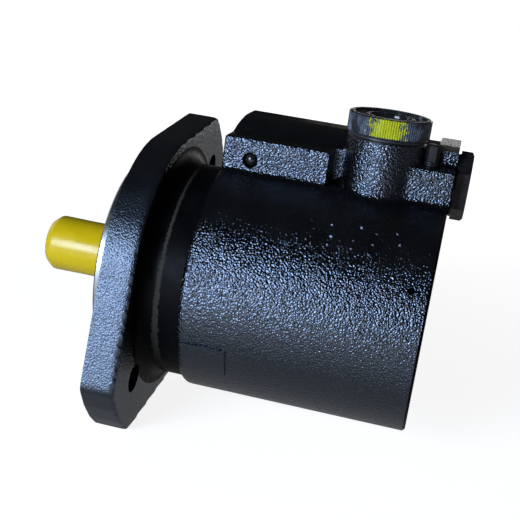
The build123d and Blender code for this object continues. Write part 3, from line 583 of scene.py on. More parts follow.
def smooth_enamel():
    """The same enamel over a faced or turned surface, with a thin lighter, duller line round the neck."""
    material, tree, enamel = shader("black_enamel_on_machined", Specular_IOR_Level=0.05)
    parts = node(tree, "SeparateXYZ", Vector=own_place(tree)).outputs
    # A thin lighter, duller line round the neck, wider towards the bottom
    from_line = combined(tree, "ABSOLUTE", combined(tree, "SUBTRACT", parts["X"], neck_line))
    breadth = ramp(tree, parts["Z"], neck_mark_low, neck_mark_high, neck_mark_wide, neck_mark_narrow)
    ragged = combined(tree, "ADD", combined(tree, "DIVIDE", from_line, breadth),
                      spread(tree, noise(tree, 900, 3.0, 0.6), -0.55, 0.55))
    neck_mark = ramp(tree, ragged, 0.7, 1.1, 1, 0)
    clean = colour_mix(tree, spread(tree, noise(tree, 120, 3.0), 0, 1), (0.0015, 0.0018, 0.0025),
                       (0.0045, 0.0045, 0.005))
    feed(enamel.inputs["Base Color"], colour_mix(tree, neck_mark, clean, (0.055, 0.050, 0.041)))
    feed(enamel.inputs["Roughness"], combined(tree, "MAXIMUM",
                                              spread(tree, noise(tree, 300, 4.0), 0.30, 0.46),
                                              ramp(tree, neck_mark, 0, 1, 0, 0.8)))
    bump(enamel, turning_marks(tree, 1500), 0.00004)
    return material


def bare_iron():
    """Machined grey iron, wiped with oil: fine tool rings and a faint mottle of graphite."""
    material, tree, metal = shader("machined_iron", Metallic=1.0)
    mottle(metal, noise(tree, 700, 4.0, 0.7), (0.27, 0.285, 0.31), (0.42, 0.435, 0.46))
    gloss(metal, noise(tree, 150, 3.0), 0.24, 0.42)
    bump(metal, turning_marks(tree, 2200), 0.00005)
    return material


# The casting as it comes from the sand: overlapping closed forms, merged and softened
ear_points = []
ear_side_angle = ear_half_angle + acos(flange_disc_radius / ear_end_radius)
for ear in ear_angles:
    for swing in (-1, -1 / 3, 1 / 3, 1):
        angle = ear + swing * ear_half_angle
        corner_round = ear_corner_round if abs(swing) == 1 else 0
        ear_points.append((ear_end_radius * cos(angle), ear_end_radius * sin(angle), corner_round))
    disc_side = arc((0, 0), flange_disc_radius, ear + ear_side_angle, ear + pi - ear_side_angle, 24)
    ear_points += [(*point, 0) for point in disc_side]
fillet_centre = (flange_thickness + neck_fillet, neck_cast_radius + neck_fillet)
trunk_outline = [
    (-pilot_length - stock, 0), (-pilot_length - stock, pilot_radius + stock),
    (flange_thickness / 2, pilot_radius + stock),
    *arc(fillet_centre, neck_fillet, pi, 1.5 * pi),
    (barrel_start, neck_cast_radius), (barrel_start, barrel_radius - barrel_shoulder),
    (barrel_start + barrel_shoulder, barrel_radius), (rear_face + stock, barrel_radius),
    (rear_face + stock, 0)]
bar_outline = [(barrel_start, 0), (rear_face + stock, 0), (rear_face + stock, bar_top),
               (barrel_start + bar_slope, bar_top), (barrel_start, ledge_top)]
ledge_outline = rectangle(ledge_near, 0, ledge_far, ledge_top)
seat_outline = rectangle(seat_start, seat_near, rear_face + stock, bar_far)
inlet_outline = rectangle(0, 0, inlet_boss_top + stock, inlet_boss_radius)
outlet_outline = rectangle(valve_y, 0, outlet_face + stock, outlet_boss_radius)
housing = placed("housing_casting", joined("housing_casting", [
    prism("flange", rounded(ear_points), -stock, flange_thickness, "X"),
    turned("trunk", trunk_outline, 160),
    prism("ledge", ledge_outline, barrel_start, rear_face + stock, "X"),
    prism("bar", bar_outline, bar_near, bar_far, "Y"),
    prism("plug_seat", seat_outline, 0, seat_top, "Z"),
    turned("inlet_boss", inlet_outline, 96, inlet_centre, "Z"),
    turned("outlet_boss", outlet_outline, 96, outlet_centre, "Y")]))
sand = housing.modifiers.new("sand", "REMESH")
sand.mode = "VOXEL"
sand.voxel_size = grain
fettled = housing.modifiers.new("fettled", "SMOOTH")
fettled.factor = 0.5
fettled.iterations = 4
baked(housing)
for finish in (cast_enamel(), smooth_enamel(), bare_iron()):
    housing.data.materials.append(finish)
as_cast, painted, bare = 0, 1, 2

# The bar's crown is rounded towards the ledge and its top is skimmed flat, and the ledge stops
# short of the inlet boss
crown_centre = (bar_near + crown_radius * cos(crown_foot), bar_top - crown_radius)
crown_arc = arc(crown_centre, crown_radius, pi - crown_foot, pi / 2, 16)
crown_cut = prism("crown_cut", [
    *crown_arc, (crown_centre[0], bar_top + stock), (bar_near - stock, bar_top + stock),
    (bar_near - stock, crown_arc[0][1])], barrel_start - stock, seat_start, "X")
notch_cut = prism("notch_cut", [
    (notch_start, ledge_near - stock), (inlet_x, ledge_near - stock),
    (inlet_x, ledge_near + notch_depth), (notch_start + stock, ledge_near + notch_depth)],
    barrel_radius, ledge_top + overrun, "Z")
skim_outline = rectangle(bar_near - stock, bar_top - skim, bar_far + stock, bar_top + stock)
skim_cut = prism("skim_cut", skim_outline, barrel_start - stock, rear_face + 2 * stock, "X")
shaped(housing, "DIFFERENCE", [(crown_cut, as_cast), (notch_cut, as_cast), (skim_cut, painted)])

# Small scabs of burnt-on sand, left on the barrel below the inlet boss
chance = Random(11)
scabs = []
for row in range(scab_rows):
    for column in range(scab_columns):
        size = chance.uniform(least_scab, most_scab)
        along = scab_start + scab_pitch * (column + chance.uniform(-scab_scatter, scab_scatter))
        around = scab_angle + scab_step * (row + chance.uniform(-scab_scatter, scab_scatter))
        out = barrel_radius - size / 2
        scabs.append(turned("scab", arc((0, 0), size, pi, 0, 6), 12,
                            (along, -out * cos(around), out * sin(around))))

# The raised pad, the scabs, and the inlet boss once more, truly round at its full radius
pad_outline = rectangle(pad_start, barrel_radius - stock,
                        pad_start + pad_length, barrel_radius + pad_height)
boss_outline = rectangle(block_foot, 0, inlet_boss_top + stock, inlet_boss_radius)
shaped(housing, "UNION", [
    (turned("pad", pad_outline, 24, start=pad_angle, sweep=pad_sweep), as_cast),
    (joined("scabs", scabs), as_cast),
    (turned("boss", boss_outline, 96, inlet_centre, "Z"), as_cast)])


def thread(start, end, crest, root, pitch=0.0015, flat=0.15):
    """A profile of ring-shaped threads along an axis, as (place, radius) points."""
    turns = round((end - start) / pitch)
    step = (end - start) / turns
    profile = []
    for number in range(turns):
        place = start + number * step
        profile += [(place, crest), (place + step * flat, crest), (place + step * 0.5, root),
                    (place + step * (1 - flat), crest)]
    return profile + [(end, crest)]


def drill(centre, radius, start, end, axis="X", segments=40):
    """A round cutter along an axis."""
    return turned("drill", [(start, 0), (start, radius), (end, radius), (end, 0)], segments, centre, axis)


# Front turning: pilot and mounting face; then the bores from both ends, and the rear face
face_cut = turned("face_cut", [
    (-2 * end_clear, 0), (-pilot_length, 0), (-pilot_length, pilot_radius - pilot_chamfer),
    (-pilot_length + pilot_chamfer, pilot_radius), (0, pilot_radius), (0, swing_clear),
    (-2 * end_clear, swing_clear)], 160)
bore_cut = turned("bore_cut", [
    (-end_clear, 0), (-end_clear, seal_bore_radius), (seal_bore_end, seal_bore_radius),
    (seal_bore_end, web_radius), (bearing_start, web_radius), (bearing_start, bearing_bore_radius),
    (clip_start, bearing_bore_radius), (clip_start, clip_radius), (clip_end, clip_radius),
    (clip_end, bearing_bore_radius), (chamber_start, bearing_bore_radius), (chamber_start, chamber_radius),
    (wire_x - wire_groove, chamber_radius), (wire_x - wire_groove, chamber_radius + wire_groove),
    (wire_x + wire_groove, chamber_radius + wire_groove), (wire_x + wire_groove, chamber_radius),
    (rear_face - mouth_chamfer, chamber_radius),
    (rear_face + overrun, chamber_radius + mouth_chamfer + overrun), (rear_face + overrun, 0)], 128)
rear_cut = prism("rear_cut", rectangle(-block_clear, -block_clear, block_clear, block_clear),
                 rear_face, rear_face + end_clear, "X")
rim_cut = turned("rim_cut", [
    (rear_face - rear_edge, barrel_radius), (rear_face + overrun, barrel_radius - rear_edge - overrun),
    (rear_face + overrun, barrel_radius + overrun), (rear_face - rear_edge, barrel_radius + overrun)],
    120, start=rear_edge_start, sweep=rear_edge_sweep)
neck_cut = turned("neck_cut", [
    *arc((flange_thickness + neck_fillet, neck_radius + neck_fillet), neck_fillet, pi, 1.5 * pi),
    (barrel_start, neck_radius), (barrel_start, neck_radius + neck_fillet + stock),
    (flange_thickness + overrun / 10, neck_radius + neck_fillet + stock)], 160)

# Ports, valve bore and the small drillings
boss_cut = turned("boss_cut", [
    (inlet_boss_top, 0), (inlet_boss_top, inlet_boss_radius - boss_chamfer),
    (inlet_boss_top - boss_chamfer - overrun / 2, inlet_boss_radius + overrun / 2),
    (inlet_boss_top + face_clear, inlet_boss_radius + side_clear), (inlet_boss_top + face_clear, 0)],
    128, inlet_centre, "Z")
inlet_cut = turned("inlet_cut", [
    (inlet_pocket_end, 0), (inlet_pocket_end, inlet_pocket_radius), (inlet_thread_end, inlet_pocket_radius),
    *thread(inlet_thread_end, inlet_boss_top - port_thread_depth, inlet_thread_radius,
            inlet_thread_radius + port_thread_depth),
    (inlet_boss_top + overrun, inlet_thread_radius + port_thread_depth + overrun),
    (inlet_boss_top + overrun, 0)], 96, inlet_centre, "Z")
outlet_cut = turned("outlet_cut", [
    (outlet_thread_end, 0),
    *thread(outlet_thread_end, outlet_face - port_thread_depth, outlet_thread_radius,
            outlet_thread_radius + port_thread_depth),
    (outlet_face + overrun / 2, outlet_thread_radius + port_thread_depth + overrun / 2),
    (outlet_face + overrun / 2, 0)], 96, outlet_centre, "Y")
outlet_face_cut = drill(outlet_centre, outlet_boss_radius + stock, outlet_face, outlet_face + face_clear,
                        "Y", 48)
valve_cut = turned("valve_cut", [
    (valve_bore_start, 0), (valve_bore_start, valve_bore_radius),
    (rear_face - valve_thread_length, valve_bore_radius),
    (rear_face - valve_thread_length, valve_thread_radius),
    (rear_face - valve_chamfer, valve_thread_radius),
    (rear_face + overrun, valve_thread_radius + valve_chamfer + overrun), (rear_face + overrun, 0)],
    72, valve_centre)
ball_cut = turned("ball_cut", [
    (ledge_near - overrun, 0), (ledge_near - overrun, ball_hole_radius + ball_chamfer + overrun),
    (ledge_near + ball_chamfer, ball_hole_radius), (valve_y, ball_hole_radius), (valve_y, 0)],
    48, (ball_x, 0, ball_z), "Y")
punch_cut = drill((wire_x, 0, 0), punch_radius, chamber_radius - overrun, barrel_radius + stock, "Y")
punch_cut.transform(Matrix.Rotation(punch_angle, 4, "X"))
suction_cut = drill((0, 0, 0), suction_radius, 0, suction_length)
suction_cut.transform(Matrix.Translation(suction_start) @ Matrix.Rotation(-suction_tilt, 4, "Y"))
tap_spot = drill(tap_centre, tap_spot_radius, ledge_top, ledge_top + stock, "Z")
tap_cut = drill(tap_centre, tap_hole_radius, ledge_top - tap_hole_depth, ledge_top + stock, "Z")
cuts = [(face_cut, bare), (bore_cut, bare), (rear_cut, painted), (rim_cut, painted), (neck_cut, painted),
        (boss_cut, bare), (inlet_cut, bare), (outlet_face_cut, painted), (outlet_cut, bare),
        (valve_cut, bare),
        (drill(outlet_centre, outlet_drill_radius, valve_y, outlet_face, "Y"), bare),
        (drill((bypass_x, valve_y, 0), bypass_radius, block_foot, valve_z, "Z"), bare),
        (drill((pressure_x, valve_y, 0), pressure_radius, block_foot, valve_z, "Z"), bare),
        (ball_cut, painted), (punch_cut, painted), (suction_cut, bare), (tap_spot, painted),
        (tap_cut, bare)]
for ear in ear_angles:
    bolt_spot = (0, bolt_circle_radius * cos(ear), bolt_circle_radius * sin(ear))
    cuts.append((drill(bolt_spot, bolt_hole_radius, -stock, flange_thickness + stock), painted))
for end in (-1, 1):
    dowel_spot = (0, 0, end * dowel_circle_radius)
    cuts.append((drill(dowel_spot, dowel_hole_radius, dowel_start, chamber_start + overrun), bare))
shaped(housing, "DIFFERENCE", cuts)
crisp(housing)
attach(housing, "root")
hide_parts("housing")


# --- Shaft and its seal ------------------------------------------------------------------
# Case-hardened steel shaft, ground on its journals and left milled on its drive teeth. The
# seal is a pressed steel case with a rubber lip bonded in and a garter spring round the lip.
def dressed(material, *names):
    """These solids keep their shape and get a finish."""
    for name in names:
        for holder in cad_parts[name].material_slots:
            holder.link = "OBJECT"
            holder.material = material


def ground_steel():
    """Hardened steel off the grinder: bright, with hair-fine rings and a film of oil."""
    material, tree, metal = shader("ground_steel", Metallic=1.0, Coat_Weight=0.3, Coat_Roughness=0.1)
    mottle(metal, noise(tree, 240, 4.0, 0.65), (0.42, 0.42, 0.43), (0.60, 0.60, 0.61))
    gloss(metal, noise(tree, 500, 3.0), 0.18, 0.34)
    bump(metal, turning_marks(tree, 4200), 0.000018)
    return material


def drawn_wire():
    """Spring wire: grey, faintly streaked by the die."""
    material, tree, metal = shader("drawn_spring_wire", Metallic=1.0)
    streaks = noise(tree, 1800, 3.0, 0.6, stretch=(1, 0.3, 0.3))
    mottle(metal, streaks, (0.17, 0.17, 0.18), (0.34, 0.34, 0.35))
    gloss(metal, streaks, 0.28, 0.45)
    bump(metal, streaks, 0.00002)
    return material


def phosphated():
    """Manganese-phosphated steel: dark grey, finely crystalline, dry to the touch."""
    material, tree, metal = shader("phosphated_steel", Metallic=0.7)
    crystals = node(tree, "TexVoronoi", Vector=own_place(tree), Scale=2600.0)
    clouds = noise(tree, 160, 4.0, 0.6)
    mottle(metal, clouds, (0.055, 0.055, 0.06), (0.12, 0.12, 0.125))
    gloss(metal, clouds, 0.42, 0.6)
    rings = bump(metal, turning_marks(tree, 1300), 0.00006)
    bump(metal, crystals.outputs["Distance"], 0.00008, under=rings)
    return material


def seal_rubber():
    """Moulded nitrile rubber: black, dull, with a fine mould skin."""
    material, tree, moulded = shader("nitrile_rubber")
    skin = noise(tree, 1500, 3.0, 0.6)
    mottle(moulded, noise(tree, 200, 3.0), (0.012, 0.012, 0.012), (0.03, 0.03, 0.03))
    gloss(moulded, skin, 0.45, 0.65)
    bump(moulded, skin, 0.00003)
    return material


steel, wire, phosphate, rubber = ground_steel(), drawn_wire(), phosphated(), seal_rubber()
dressed(steel, "drive_shaft")
dressed(phosphate, "seal_case")
dressed(rubber, "seal_lip")
dressed(wire, "garter_spring")


# --- Ball bearing and circlips -----------------------------------------------------------
# A deep-groove bearing: two through-hardened rings, nine balls and a machined brass cage,
# held in the housing and on the shaft by spring-steel circlips.
def bearing_steel():
    """Through-hardened bearing steel, honed: the brightest metal in the pump."""
    material, tree, metal = shader("honed_bearing_steel", Metallic=1.0)
    scuffs = noise(tree, 900, 4.0, 0.7, stretch=(1, 6, 6))
    mottle(metal, scuffs, (0.55, 0.55, 0.56), (0.68, 0.68, 0.69))
    gloss(metal, scuffs, 0.10, 0.20)
    bump(metal, scuffs, 0.000008)
    return material


def cage_brass():
    """Machined brass with a soft satin and a touch of tarnish."""
    material, tree, metal = shader("cage_brass", Metallic=1.0)
    mottle(metal, noise(tree, 320, 4.0, 0.65), (0.45, 0.30, 0.11), (0.66, 0.49, 0.22))
    gloss(metal, noise(tree, 700, 3.0), 0.24, 0.40)
    bump(metal, turning_marks(tree, 2600), 0.00003)
    return material


honed = bearing_steel()
dressed(honed, "bearing_outer_ring", "bearing_inner_ring", "bearing_balls")
dressed(cage_brass(), "bearing_cage")
dressed(wire, "housing_circlip", "shaft_circlip")


# --- Pumping group -----------------------------------------------------------------------
# Ground side plates and oval cam ring, the slotted rotor with ten vanes, two dowels, and the
# sintered bronze bush that carries the shaft's tail.
def sintered_bronze():
    """Oil-soaked sintered bronze: brown, matt, full of tiny dark pores."""
    material, tree, metal = shader("sintered_bronze", Metallic=0.9)
    pores = node(tree, "TexVoronoi", Vector=own_place(tree), Scale=3500.0).outputs["Distance"]
    mottle(metal, pores, (0.16, 0.09, 0.04), (0.46, 0.30, 0.15))
    gloss(metal, noise(tree, 400, 3.0), 0.38, 0.55)
    bump(metal, pores, 0.00006)
    return material


def vane_steel():
    """High-speed steel vanes, surface-ground along their length."""
    material, tree, metal = shader("vane_steel", Metallic=1.0)
    lines = noise(tree, 1400, 3.0, 0.6, stretch=(0.05, 1, 1))
    mottle(metal, lines, (0.40, 0.40, 0.42), (0.58, 0.58, 0.60))
    gloss(metal, lines, 0.2, 0.36)
    bump(metal, lines, 0.00002)
    return material


dressed(steel, "front_side_plate", "rear_side_plate", "cam_ring", "rotor")
dressed(vane_steel(), *[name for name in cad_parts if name.startswith("vane_")])
dressed(honed, "dowel_pins")
dressed(sintered_bronze(), "shaft_bush")


# --- Rear cover --------------------------------------------------------------------------
# Turned steel cover, phosphated, with a raised hub and a shallow dish. A spring behind it
# clamps the plates, two rubber cords seal it, and a wire ring snapped in a groove holds it.
cover_low, cover_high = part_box("rear_cover")
cover_radius = cover_high[1]
cover_start, cover_hub_end = cover_low[0], cover_high[0]
cover_rim_end = 0.1093
cover_hub_radius = 0.0305
cover_dish_radius = 0.023
cover_dish_depth = 0.0024
cover_centre_radius = 0.002
cover_centre_depth = 0.0015
cover_pocket_radius = 0.021
cover_pocket_depth = 0.004
cord_groove_start, cord_groove_end = 0.097, 0.1002
cord_groove_floor = 0.03454
cover_edge = 0.0006
hub_foot_round = 0.0012
hub_edge_round = 0.0016
dish_floor = cover_hub_end - cover_dish_depth
pocket_floor = cover_start + cover_pocket_depth
rear_cover = placed("rear_cover_turned", turned("rear_cover_turned", [
    (cover_start, cover_pocket_radius), (cover_start, cover_radius - cover_edge),
    (cover_start + cover_edge, cover_radius), (cord_groove_start, cover_radius),
    (cord_groove_start, cord_groove_floor), (cord_groove_end, cord_groove_floor),
    (cord_groove_end, cover_radius), (cover_rim_end - cover_edge, cover_radius),
    (cover_rim_end, cover_radius - cover_edge),
    *[(cover_rim_end + hub_foot_round - height, cover_hub_radius + hub_foot_round - reach)
      for reach, height in arc((0, 0), hub_foot_round, pi / 2, 0, 5)],
    *[(cover_hub_end - hub_edge_round + height, cover_hub_radius - hub_edge_round + reach)
      for reach, height in arc((0, 0), hub_edge_round, 0, pi / 2, 6)],
    (cover_hub_end, cover_dish_radius), (dish_floor, cover_dish_radius - cover_dish_depth),
    (dish_floor, cover_centre_radius), (dish_floor - cover_centre_depth, 0),
    (pocket_floor, 0), (pocket_floor, cover_pocket_radius)], 144))
rear_cover.data.materials.append(phosphate)
crisp(rear_cover)
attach(rear_cover, "root")
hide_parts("rear_cover")
dressed(rubber, "rear_cover_cord", "rear_plate_cord")
dressed(wire, "retaining_ring", "plate_spring")


# --- Flow-control valve ------------------------------------------------------------------
# A ground spool slides in the block against a spring, with a small relief valve inside it. A
# black hexagon plug with a flat collar, sealed by a rubber cord, closes the bore at the rear.
spring_wire = {"flow_spring": 0.00075, "relief_spring": 0.00035}
spring_turns = {"flow_spring": 8.0, "relief_spring": 6.0}
plug_low, plug_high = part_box("valve_plug")
hex_end = plug_high[0]
hex_across = 0.024
hex_corner = hex_across / 2 / cos(pi / 6)
hex_start = rear_face + 0.0012
hex_chamfer = 0.0014
hex_chamfer_depth = 0.00084
hair = 0.00001
collar_radius = 0.0124
collar_round = 0.0003
plug_dimple_radius = 0.0055
plug_dimple_depth = 0.0008
plug_nose_radius = 0.0056
plug_thread_radius = 0.00896
plug_thread_root = 0.0084
plug_thread_start = rear_face - 0.009
thread_lead = 0.0004
plug_groove_start = rear_face - 0.0024
plug_groove_radius = 0.0082
dressed(steel, "flow_spool", "relief_seat", "relief_poppet")
dressed(rubber, "valve_plug_cord")


def coil(name, wire_radius, turns, closing=0.3, steps=36, sides=10):
    """A coil spring along X in the room of its solid, with its end coils wound closer."""
    low, high = (Vector(corner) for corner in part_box(name))
    middle, reach = (low + high) / 2, (high.z - low.z) / 2 - wire_radius
    start, length = low.x + wire_radius, high.x - low.x - 2 * wire_radius
    count = round(turns * steps)
    points = []
    for step in range(count + 1):
        share = step / count
        angle = 2 * pi * turns * share
        along = start + length * (share - closing * sin(2 * pi * share) / (2 * pi))
        out = Vector((0, cos(angle), sin(angle)))
        pace = 2 * pi * turns * reach
        run = Vector((length * (1 - closing * cos(2 * pi * share)), -pace * sin(angle),
                      pace * cos(angle))).normalized()
        centre = Vector((along, middle.y, middle.z)) + out * reach
        for side in range(sides):
            turn = 2 * pi * side / sides
            points.append(tuple(centre + (out * cos(turn) + run.cross(out) * sin(turn)) * wire_radius))
    faces = []
    for step in range(count):
        here, there = sides * step, sides * (step + 1)
        for side in range(sides):
            after = (side + 1) % sides
            faces.append((here + side, here + after, there + after, there + side))
    faces += [tuple(range(sides))[::-1], tuple(range(sides * count, sides * (count + 1)))]
    return placed(name + "_coil", mesh_of(name, points, faces))


for name, joint, body, fixed_end in (("flow_spring", "spool_slide", "root", 0),
                                     ("relief_spring", "relief_slide", "spool", 1)):
    spring = coil(name, spring_wire[name], spring_turns[name])
    spring.data.materials.append(wire)
    crisp(spring)
    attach(spring, body)
    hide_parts(name)
    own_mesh(spring)


def plug_enamel(name, shine, smoothest, roughest):
    """Black enamel sprayed over a machined steel plug or ball, in a range of gloss."""
    material, tree, enamel = shader(name, Specular_IOR_Level=shine)
    mottle(enamel, noise(tree, 350, 4.0, 0.6), (0.009, 0.009, 0.011), (0.026, 0.025, 0.025))
    gloss(enamel, noise(tree, 500, 3.0), smoothest, roughest)
    rings = bump(enamel, turning_marks(tree, 1800, valve_centre), 0.00005)
    bump(enamel, noise(tree, 1300, 2.0), 0.00008, under=rings)
    return material


def hexagon(centre, corner_radius, turn=0.0):
    """The corners of a regular hexagon, as an outline."""
    return [(centre[0] + corner_radius * cos(side * pi / 3 + turn),
             centre[1] + corner_radius * sin(side * pi / 3 + turn)) for side in range(6)]


plug_paint = plug_enamel("black_enamel_on_plug", 0.3, 0.28, 0.46)
ball_paint = plug_enamel("black_enamel_on_ball", 0.8, 0.08, 0.16)
valve_plug = placed("hexagon_plug", prism("hexagon_plug", hexagon((valve_y, valve_z), hex_corner, pi / 6),
                                          hex_start - overrun / 4, hex_end + overrun, "X"))
valve_plug.data.materials.append(plug_paint)
dimple_floor = hex_end - plug_dimple_depth
hex_trim = turned("hex_trim", [
    (hex_start - overrun, 0), (hex_start - overrun, hex_corner + overrun),
    (hex_end - hex_chamfer_depth, hex_corner + hair), (hex_end, hex_corner - hex_chamfer),
    (hex_end, plug_dimple_radius), (dimple_floor, plug_dimple_radius - plug_dimple_depth),
    (dimple_floor, 0)], 96, valve_centre)
shaped(valve_plug, "INTERSECT", [(hex_trim, 0)])
plug_shank = turned("plug_shank", [
    (plug_low[0], 0), (plug_low[0], plug_nose_radius), (plug_thread_start, plug_nose_radius),
    *thread(plug_thread_start + thread_lead, plug_groove_start, plug_thread_radius, plug_thread_root),
    (plug_groove_start, plug_groove_radius), (rear_face, plug_groove_radius),
    (rear_face, collar_radius - collar_round), (rear_face + collar_round, collar_radius),
    (hex_start - collar_round, collar_radius), (hex_start, collar_radius - collar_round), (hex_start, 0)],
    96, valve_centre)
shaped(valve_plug, "UNION", [(plug_shank, 0)])
crisp(valve_plug)
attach(valve_plug, "root")
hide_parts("valve_plug")


# --- Sensing-hole ball -------------------------------------------------------------------
# A hardened steel ball pressed in the drilled sensing hole at the front of the valve block, and
# sprayed over with the rest.
ball_low, ball_high = (Vector(corner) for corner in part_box("gallery_ball"))
ball_radius = (ball_high.z - ball_low.z) / 2
ball_centre = ball_low + Vector((ball_radius,) * 3)
ball_outline = [(ball_centre.y + ball_radius * sin(radians(rise)), ball_radius * cos(radians(rise)))
                for rise in range(-90, 91, 6)]
gallery_ball = placed("pressed_ball", turned("pressed_ball", ball_outline, 48,
                                             (ball_centre.x, 0, ball_centre.z), "Y"))
gallery_ball.data.materials.append(ball_paint)
crisp(gallery_ball)
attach(gallery_ball, "root")
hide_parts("gallery_ball")


# --- Tap plug and its washer -------------------------------------------------------------
# A small turned steel plug with a hexagon head, screwed down on a soft washer in the top of the
# block beside the inlet, and sprayed black in place.
tap_low, tap_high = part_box("tap_plug")
tap_washer_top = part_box("tap_washer")[1][2]
tap_washer_round = 0.00015
tap_collar_radius = 0.0029
tap_collar_top = tap_washer_top + 0.001
tap_hex_corner = 0.0025 / cos(pi / 6)
tap_chamfer = 0.0005
tap_thread_radius = 0.00198
tap_thread_root = 0.0017
tap_thread_pitch = 0.0007


def washer(name, solid, bore_radius, edge_round, centre, segments):
    """A flat washer upright in the room of its solid, with its outer edges eased."""
    low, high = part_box(solid)
    radius = (high[0] - low[0]) / 2
    return placed(name, turned(name, [
        (low[2], bore_radius), (low[2], radius - edge_round), (low[2] + edge_round, radius),
        (high[2] - edge_round, radius), (high[2], radius - edge_round), (high[2], bore_radius)],
        segments, centre, "Z"))


tap_washer = washer("tap_sealing_washer", "tap_washer", tap_hole_radius, tap_washer_round, tap_centre, 48)
tap_washer.data.materials.append(plug_paint)
crisp(tap_washer)
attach(tap_washer, "root")
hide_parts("tap_washer")

tap_plug = placed("tap_hexagon_plug", prism("tap_hexagon_plug", hexagon((tap_x, tap_y), tap_hex_corner),
                                            tap_collar_top - overrun / 5, tap_high[2] + overrun, "Z"))
tap_plug.data.materials.append(plug_paint)
tap_trim = turned("tap_trim", [
    (tap_collar_top - overrun, 0), (tap_collar_top - overrun, tap_hex_corner + overrun),
    (tap_high[2] - tap_chamfer, tap_hex_corner + hair), (tap_high[2], tap_hex_corner - 2 * tap_chamfer),
    (tap_high[2], 0)], 48, tap_centre, "Z")
shaped(tap_plug, "INTERSECT", [(tap_trim, 0)])
tap_shank = turned("tap_shank", [
    (tap_low[2], 0), *thread(tap_low[2], tap_washer_top - thread_lead, tap_thread_radius, tap_thread_root,
                             tap_thread_pitch),
    (tap_washer_top, tap_thread_root), (tap_washer_top, tap_collar_radius - tap_washer_round),
    (tap_washer_top + tap_washer_round, tap_collar_radius),
    (tap_collar_top - 2 * tap_washer_round, tap_collar_radius),
    (tap_collar_top, tap_collar_radius - 2 * tap_washer_round), (tap_collar_top, 0)], 48, tap_centre, "Z")
shaped(tap_plug, "UNION", [(tap_shank, 0)])
crisp(tap_plug)
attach(tap_plug, "root")
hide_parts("tap_plug")


# --- Inlet washer ------------------------------------------------------------------------
# A moulded rubber ring that lies on the inlet's faced boss and is pinched under the head of the
# shipping plug.
inlet_washer_round = 0.0003


def washer_rubber():
    """Smooth moulded rubber washer with a slight bloom."""
    material, tree, moulded = shader("washer_rubber")
    bloom = noise(tree, 260, 4.0, 0.6)
    mottle(moulded, bloom, (0.018, 0.019, 0.021), (0.05, 0.05, 0.052))
    gloss(moulded, bloom, 0.25, 0.4)
    bump(moulded, noise(tree, 900, 2.0), 0.00004)
    return material


inlet_washer = washer("inlet_sealing_washer", "inlet_washer", inlet_thread_radius, inlet_washer_round,
                      inlet_centre, 128)
inlet_washer.data.materials.append(washer_rubber())
crisp(inlet_washer)
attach(inlet_washer, "inlet_plug")
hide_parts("inlet_washer")


# --- Inlet shipping plug -----------------------------------------------------------------
# A moulded black polythene plug screwed in the inlet port for transport: ribbed rim for the
# fingers, recessed top with a raised ring round a blind socket, and an inspector's paint dab.
head_low, head_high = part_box("inlet_plug")
head_top = head_high[2]
head_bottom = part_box("inlet_washer")[1][2]
head_radius = (head_high[0] - head_low[0]) / 2
rib_count = 108
rib_radius = 0.00034
rib_sides = 8
rib_stand = 0.00026
rim_radius = head_radius - rib_stand
rim_edge = 0.0004
rim_bore_radius = head_radius - 0.0020
recess_floor = head_top - 0.0018
ring_top = head_top - 0.0006
ring_radius = 0.0096
ring_bore_radius = ring_radius - 0.0016
socket_radius = 0.0052
socket_floor = head_top - 0.0065
lip_edge = 0.0002
stub_radius = 0.01292
stub_root = 0.0123
stub_top = head_bottom - 0.001
paint_angle = radians(-86)
paint_half_width = radians(23)
paint_bottom, paint_top = head_bottom + 0.0006, head_top - 0.0003
# Where the painted highlight on the rib crests starts and ends
crest_glint_start, crest_glint_end = head_radius - 0.00035, head_radius - 0.0001


def moulded_black():
    """Black polythene with moulding sheen, a painted bluish highlight on the rib crests and a brushed dab
    of yellow-green paint.
    """
    material, tree, moulded = shader("moulded_black_with_paint_dab", Specular_IOR_Level=0.9,
                                     Coat_Weight=0.6, Coat_Roughness=0.06)
    shift = node(tree, "Mapping", Vector=own_place(tree), Location=(-inlet_x, -inlet_y, 0))
    facing = node(tree, "Mapping", Vector=shift.outputs["Vector"], Rotation=(0, 0, -paint_angle))
    parts = node(tree, "SeparateXYZ", Vector=facing.outputs["Vector"]).outputs
    around = combined(tree, "ABSOLUTE", combined(tree, "ARCTAN2", parts["Y"], parts["X"]))
    ragged = spread(tree, noise(tree, 700, 4.0, 0.7, stretch=(1, 1, 0.35)), -0.28, 0.28)
    inside = combined(tree, "LESS_THAN", combined(tree, "ADD", around, ragged), paint_half_width)
    band = combined(tree, "MULTIPLY", combined(tree, "GREATER_THAN", parts["Z"], paint_bottom),
                    combined(tree, "LESS_THAN", parts["Z"], paint_top))
    dab = combined(tree, "MULTIPLY", inside, band)
    flat = node(tree, "CombineXYZ", X=parts["X"], Y=parts["Y"])
    outward = node(tree, "VectorMath", operation="LENGTH", Vector=flat.outputs["Vector"])
    # A painted highlight: the outer edge of the ribs is coloured light blue-grey
    painted_crest_glint = combined(tree, "MULTIPLY", ramp(tree, outward.outputs["Value"], crest_glint_start, crest_glint_end, 0, 1),
                     spread(tree, noise(tree, 200, 3.0, 0.6), -0.6, 1.5))
    scuffs = noise(tree, 420, 4.0, 0.65)
    plastic = colour_mix(tree, spread(tree, scuffs, 0, 1), (0.012, 0.013, 0.016), (0.035, 0.037, 0.042))
    paint = colour_mix(tree, spread(tree, noise(tree, 900, 3.0), 0, 1), (0.50, 0.54, 0.001),
                       (0.70, 0.70, 0.004))
    glinting_plastic = colour_mix(tree, painted_crest_glint, plastic, (0.15, 0.18, 0.24))
    feed(moulded.inputs["Base Color"], colour_mix(tree, dab, glinting_plastic, paint))
    gloss(moulded, scuffs, 0.10, 0.20)
    bump(moulded, noise(tree, 1600, 2.0), 0.00003)
    return material


